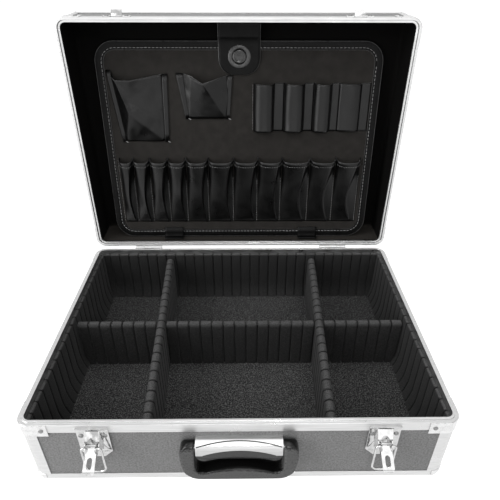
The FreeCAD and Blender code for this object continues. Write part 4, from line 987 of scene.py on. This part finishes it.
def sewn_row(name, node, widths, low, high, girth_at, creases, sag, open_foot):
    """A row of pockets or loops in one strip of leatherette, sewn down at the seams between them."""
    places = seams(node, widths)
    skin = Heap()
    hems = Heap()
    sewing = Heap()
    length = 0.0
    for index, (left, right) in enumerate(zip(places, places[1:])):
        rows = []
        for row in range(SEWN_ROWS + 1):
            climb = row / SEWN_ROWS
            points = []
            for column, (across, out) in enumerate(girth_at(index, climb)):
                share = column / SEWN_COLUMNS
                x = left + 0.3 + (right - left - 0.6) * across
                up = low + (high - low) * climb - sag * math.sin(math.pi * share) ** 0.7 * climb ** 3
                fade = math.sin(math.pi * share) * (1.0 if open_foot else min(1.0, 5 * climb))
                out += fade * ripple((x, up * 0.5, index * 40), 20.0, creases * (1 + 0.7 * wave(index, 5)))
                points.append(pallet(x, up, max(out, 0.3)))
            rows.append(points)
        skin.grid(rows)
        # The hem tubes take a lighter finish than the skin: painted highlights along the mouths, and along the
        # feet of open loops.
        hems.tube(rows[-1], 0.45, 8)
        if open_foot:
            hems.tube(rows[0], 0.4, 8)
        length += sum((b - a).length for a, b in zip(rows[-1], rows[-1][1:]))
        sewing.stitches([point + Vector((0, -0.3, 0)) for point in rows[-3]], 3.6, 2.3, 0.2)
    for place in places:
        sewing.stitches([pallet(place - 1.5, low, 0.9), pallet(place - 1.5, high, 0.9)], 4.0, 2.6, 0.22)
    strip = solid_sheet(skin.piece(name, pocket_skin, "lid", [node], 50.0), SEWN_SHEET)
    hem_piece = hems.piece(name + "_hems", edge_highlight_skin, "lid")
    sewn = sewing.piece(name + "_stitches", thread, "lid")


sewn_row("tool_pocket_row", "tool_pockets", POCKET_WIDTHS, POCKET_LOW, POCKET_HIGH, pocket_girth,
         creases=1.2, sag=6.0, open_foot=False)
sewn_row("tool_loop_row", "tool_loops", LOOP_WIDTHS, LOOP_LOW, LOOP_HIGH, loop_girth,
         creases=0.7, sag=2.0, open_foot=True)


SEAM_OUT = 0.9


def folded_pocket(node, corners, facets, ridges, hem, strips):
    """A pouch of folded leatherette: named corners, facets between them and the ridges that stay crisp.

    Each strip is sewn flat to the board: an outer and an inner corner at its top, then at its foot.
    """
    names = list(corners)
    points = [pallet(*corners[name]) for name in names]
    faces = [tuple(names.index(name) for name in facet) for facet in facets]
    made = piece(node + "_pouch", points, faces, pocket_skin, "lid", [node], 25.0)
    crisp = made.data.attributes.new("crease_edge", "FLOAT", "EDGE")
    wanted = {frozenset((names.index(a), names.index(b))) for a, b in ridges}
    for edge in made.data.edges:
        crisp.data[edge.index].value = 0.8 if frozenset(edge.vertices) in wanted else 0.0
    finer = made.modifiers.new("soft folds", "SUBSURF")
    finer.levels = finer.render_levels = 4
    finer.boundary_smooth = "PRESERVE_CORNERS"
    crumple = made.modifiers.new("crumples", "DISPLACE")
    crumple.texture = bpy.data.textures.new(node + "_crumples", "CLOUDS")
    crumple.texture.noise_scale = 26.0 * MM
    crumple.strength = 2.4 * MM
    solid_sheet(made, SEWN_SHEET)
    # The hem tube along the mouth takes the lighter edge finish: a painted highlight.
    edging = Heap().tube([pallet(*corners[name]) for name in hem], 0.6, 8)
    edge_piece = edging.piece(node + "_hem", edge_highlight_skin, "lid")
    bands = Heap()
    sewing = Heap()
    for strip in strips:
        outer_top, inner_top, outer_foot, inner_foot = [pallet(x, up, SEAM_OUT) for x, up in strip]
        rows = []
        for row in range(9):
            share = row / 8
            left = outer_foot.lerp(outer_top, share)
            right = inner_foot.lerp(inner_top, share)
            rows.append([left.lerp(right, across / 4) for across in range(5)])
        bands.grid(rows)
        middle = [(outer_foot + inner_foot) / 2, (outer_top + inner_top) / 2]
        sewing.stitches([point + Vector((0, -0.4, 0)) for point in middle], 3.6, 2.4, 0.3)
        for across in (-0.6, 0.0, 0.6):
            tack = [inner_foot + Vector((across - 1.2, -0.5, 1.2)),
                    inner_foot + Vector((across + 1.2, -0.5, -0.6))]
            sewing.tube(tack, 0.4, 6)
    band_piece = solid_sheet(bands.piece(node + "_seams", pocket_skin, "lid"), SEAM_OUT - 0.1)
    sewn = sewing.piece(node + "_stitches", thread, "lid")
    foot = (pallet(*corners["foot_right"]) - pallet(*corners["foot_left"])).length * MM


folded_pocket(
    "large_pocket_left",
    {"mouth_left": (-178, 253, 1.2), "lip_left": (-176.5, 246, 8), "lip_peak": (-171, 241, 13),
     "lip_middle": (-150, 241, 14), "mouth_right": (-108, 248, 1.2), "side_left": (-173, 205, 1.2),
     "peak": (-155.5, 195.5, 15.5), "side_right": (-108, 200, 1.2), "hollow": (-153, 218, 9.5),
     "foot_left": (-166, 155, 1.2), "foot_right": (-110, 155, 1.2)},
    (("mouth_left", "side_left", "lip_left"), ("lip_left", "side_left", "peak", "lip_peak"),
     ("side_left", "foot_left", "peak"), ("foot_left", "foot_right", "peak"), ("lip_peak", "peak", "hollow"),
     ("lip_peak", "hollow", "lip_middle"), ("lip_middle", "hollow", "side_right", "mouth_right"),
     ("hollow", "peak", "side_right"), ("peak", "foot_right", "side_right")),
    (("lip_peak", "peak"), ("peak", "foot_right"), ("peak", "foot_left"), ("lip_left", "side_left"),
     ("hollow", "peak"), ("hollow", "lip_middle")),
    ("mouth_left", "lip_left", "lip_peak", "lip_middle", "mouth_right"),
    (((-185, 254), (-178, 253.5), (-172, 154), (-166, 154)),
     ((-108, 248.5), (-100.5, 249), (-110, 154), (-104, 154))))
folded_pocket(
    "large_pocket_right",
    {"mouth_left": (-78, 249, 1.2), "lip_left": (-66.5, 246, 9), "lip_peak": (-50.6, 237, 16),
     "mouth_right": (-17, 246.5, 1.2), "side_left": (-75, 215, 1.2), "side_right": (-17, 216, 1.2),
     "foot_left": (-72, 188, 1.2), "foot_right": (-20, 188, 1.2)},
    (("mouth_left", "side_left", "lip_left"), ("lip_left", "side_left", "foot_left"),
     ("lip_left", "foot_left", "foot_right", "lip_peak"),
     ("lip_peak", "foot_right", "side_right", "mouth_right")),
    (("lip_peak", "foot_right"), ("lip_left", "foot_left")),
    ("mouth_left", "lip_left", "lip_peak", "mouth_right"),
    (((-89, 250), (-78, 249.5), (-78, 187), (-72, 187)), ((-17, 247), (-9.5, 247.5), (-20, 187), (-14.5, 187))))

STRAP_HALF = 28.0
STRAP_ROUND = 20.0
STRAP_LOW = 248.0
STRAP_PATH = ((0.0, 1.6), (20.0, 1.6), (38.0, 1.8), (44.0, 2.4), (47.0, 4.4), (49.0, 5.0), (52.0, 5.2),
              (62.0, 8.6), (68.0, 10.4))
STRAP_COLUMNS = 16
STRAP_END_STEPS = 6


def strap_row(reach, out):
    """Points across the strap at a distance from its rounded end."""
    half = STRAP_HALF
    if reach < STRAP_ROUND:
        half = STRAP_HALF - STRAP_ROUND + math.sqrt(STRAP_ROUND ** 2 - (STRAP_ROUND - reach) ** 2)
    return [pallet(x, STRAP_LOW + reach, out + ripple((x, reach, 0), 18.0, 0.35))
            for x in spaced(-half, half, STRAP_COLUMNS)]


strap_rows = [strap_row(STRAP_ROUND * (1 - math.cos(math.pi / 2 * step / STRAP_END_STEPS)), STRAP_PATH[0][1])
              for step in range(STRAP_END_STEPS)]
strap_rows += [strap_row(reach, out) for reach, out in STRAP_PATH[1:]]
strap = Heap().grid(strap_rows)
strap_piece = solid_sheet(strap.piece("pallet_strap_band", binding_skin, "lid", ["pallet_strap"]), 1.3)
strap_sewing = Heap()
outer_left = [row[1] for row in strap_rows]
outer_right = [row[-2] for row in strap_rows]
strap_sewing.stitches([point + Vector((0, -0.3, 0)) for point in list(reversed(outer_left)) + outer_right])
strap_thread = strap_sewing.piece("pallet_strap_stitches", thread, "lid")
# A lighter tube round the strap's edge: a painted highlight on its rounded end.
strap_edging = Heap().tube([row[0] for row in reversed(strap_rows)] + [row[-1] for row in strap_rows], 0.7, 8)
strap_edge = strap_edging.piece("pallet_strap_edge", edge_highlight_skin, "lid")

snap_low, snap_high = node_box("strap_snap")
snap_centre = (snap_low + snap_high) / 2
snap_out = Vector((0, -math.cos(lean), math.sin(lean)))
SNAP_RING = ((15.4, -1.2), (15.4, -0.2), (14.6, 0.4), (12.6, 0.7), (10.6, 0.4), (9.8, -0.2), (9.6, -1.2))
SNAP_BUTTON = ((9.4, -1.2), (9.4, 0.6), (8.8, 1.3), (7.2, 1.7), (6.2, 1.5), (5.6, 1.2), (4.6, 1.25),
               (2.4, 1.5), (0.05, 1.55))
SNAP_SIDES = 40
ring = Heap().turned(snap_centre, snap_out, SNAP_RING, SNAP_SIDES)
ring.piece("strap_snap_ring", gunmetal, "lid", ["strap_snap"])
button = Heap().turned(snap_centre, snap_out, SNAP_BUTTON, SNAP_SIDES)
button.piece("strap_snap_button", polished_black_and_painted_shadow, "lid", ["strap_snap"])

TAB_HALF = 15.0
TAB_COLUMNS = 8
TAB_PATH = ((16.0, 1.4), (8.0, 1.5), (3.0, 1.7), (1.0, 2.4), (0.4, 4.0), (0.3, 7.0), (0.2, 11.0))
tabs = Heap()
for low, high in islands("pallet_tabs"):
    middle = (low.x + high.x) / 2
    rows = []
    for up, out in TAB_PATH:
        rows.append([pallet(x, up, out + ripple((x, up, out), 9.0, 0.25))
                     for x in spaced(middle - TAB_HALF, middle + TAB_HALF, TAB_COLUMNS)])
    tabs.grid(rows)
tab_piece = solid_sheet(tabs.piece("pallet_tab_cloth", binding_skin, "lid", ["pallet_tabs"]), 1.0)


# Stage, light and camera

def combined(tree, operation, first, second):
    """One value worked out from two."""
    made = tree.nodes.new("ShaderNodeMath")
    made.operation = operation
    tree.links.new(first, made.inputs[0])
    tree.links.new(second, made.inputs[1])
    return made.outputs["Value"]


def background_rays(tree):
    """1 for the rays that show the pale background: from the camera, off metal and through glass."""
    rays = tree.nodes.new("ShaderNodeLightPath").outputs
    mirrored = combined(tree, "MAXIMUM", rays["Is Glossy Ray"], rays["Is Transmission Ray"])
    return combined(tree, "MAXIMUM", rays["Is Camera Ray"], mirrored)


def pale_floor(level, glow):
    """A matt floor that shows near white to the camera and in metal, with the faintest of shadows."""
    made = bpy.data.materials.new("pale_floor")
    made.use_nodes = True
    surface = made.node_tree.nodes["Principled BSDF"].inputs
    surface["Base Color"].default_value = (level, level, level, 1.0)
    surface["Roughness"].default_value = 0.9
    surface["Emission Color"].default_value = (glow, glow, glow, 1.0)
    made.node_tree.links.new(background_rays(made.node_tree), surface["Emission Strength"])
    return made


bpy.ops.mesh.primitive_plane_add(size=12.0, location=(0.0, 0.0, -0.0004))
floor = bpy.context.object
floor.name = "floor"
floor.data.materials.append(pale_floor(0.3, 0.9))

world = bpy.data.worlds.new("studio")
bpy.context.scene.world = world
world.use_nodes = True
sky = world.node_tree
toward = sky.nodes.new("ShaderNodeSeparateXYZ")
sky.links.new(sky.nodes.new("ShaderNodeTexCoord").outputs["Generated"], toward.inputs["Vector"])
overhead = spread(sky, toward.outputs["Z"], (0.0, 0.75), (0.1, 0.38))
behind = spread(sky, toward.outputs["Y"], (0.35, 0.9), (0.0, 0.6))
level = combined(sky, "MAXIMUM", combined(sky, "ADD", overhead, behind), background_rays(sky))
room = sky.nodes["Background"].inputs
room["Color"].default_value = (1.0, 1.0, 1.0, 1.0)
sky.links.new(level, room["Strength"])


def softbox(name, place, target, width, height, power):
    lamp = bpy.data.lights.new(name, "AREA")
    lamp.shape = "RECTANGLE"
    lamp.size = width
    lamp.size_y = height
    lamp.energy = power
    made = bpy.data.objects.new(name, lamp)
    made.location = place
    made.rotation_euler = (Vector(target) - Vector(place)).to_track_quat("-Z", "Y").to_euler()
    bpy.context.collection.objects.link(made)


softbox("key", (-1.45, -0.55, 1.4), (0.0, 0.05, 0.15), 0.9, 0.8, 15.0)
softbox("top", (0.2, -0.1, 2.1), (0.0, 0.05, 0.15), 1.8, 1.4, 11.0)
softbox("low_left", (-1.5, -0.85, 0.45), (0.0, 0.15, 0.25), 1.2, 0.9, 12.0)
softbox("front", (0.2, -2.2, 0.3), (0.0, 0.0, 0.15), 2.0, 0.6, 3.5)
softbox("canopy", (0.0, -0.95, 1.5), (0.0, -0.1, 0.1), 2.6, 0.7, 5.0)
softbox("strip", (0.1, -1.5, 1.25), (0.0, -0.1, 0.1), 0.5, 0.3, 5.0)

CAMERA_PLACE = Vector((6.77, -469.06, 501.28))
CAMERA_PITCH = math.radians(32.939)
CAMERA_YAW = math.radians(0.7187)
CAMERA_ROLL = math.radians(-0.1796)
CAMERA_LENS = 33.86

lens = bpy.data.cameras.new("photo camera")
lens.sensor_width = 36.0
lens.lens = CAMERA_LENS
camera = bpy.data.objects.new("photo camera", lens)
camera.matrix_world = Matrix.Translation(CAMERA_PLACE * MM)
for angle, axis in ((-CAMERA_YAW, "Z"), (math.pi / 2 - CAMERA_PITCH, "X"), (-CAMERA_ROLL, "Z")):
    camera.matrix_world = camera.matrix_world @ Matrix.Rotation(angle, 4, axis)
bpy.context.collection.objects.link(camera)
bpy.context.scene.camera = camera
bpy.context.scene.view_settings.view_transform = "Standard"
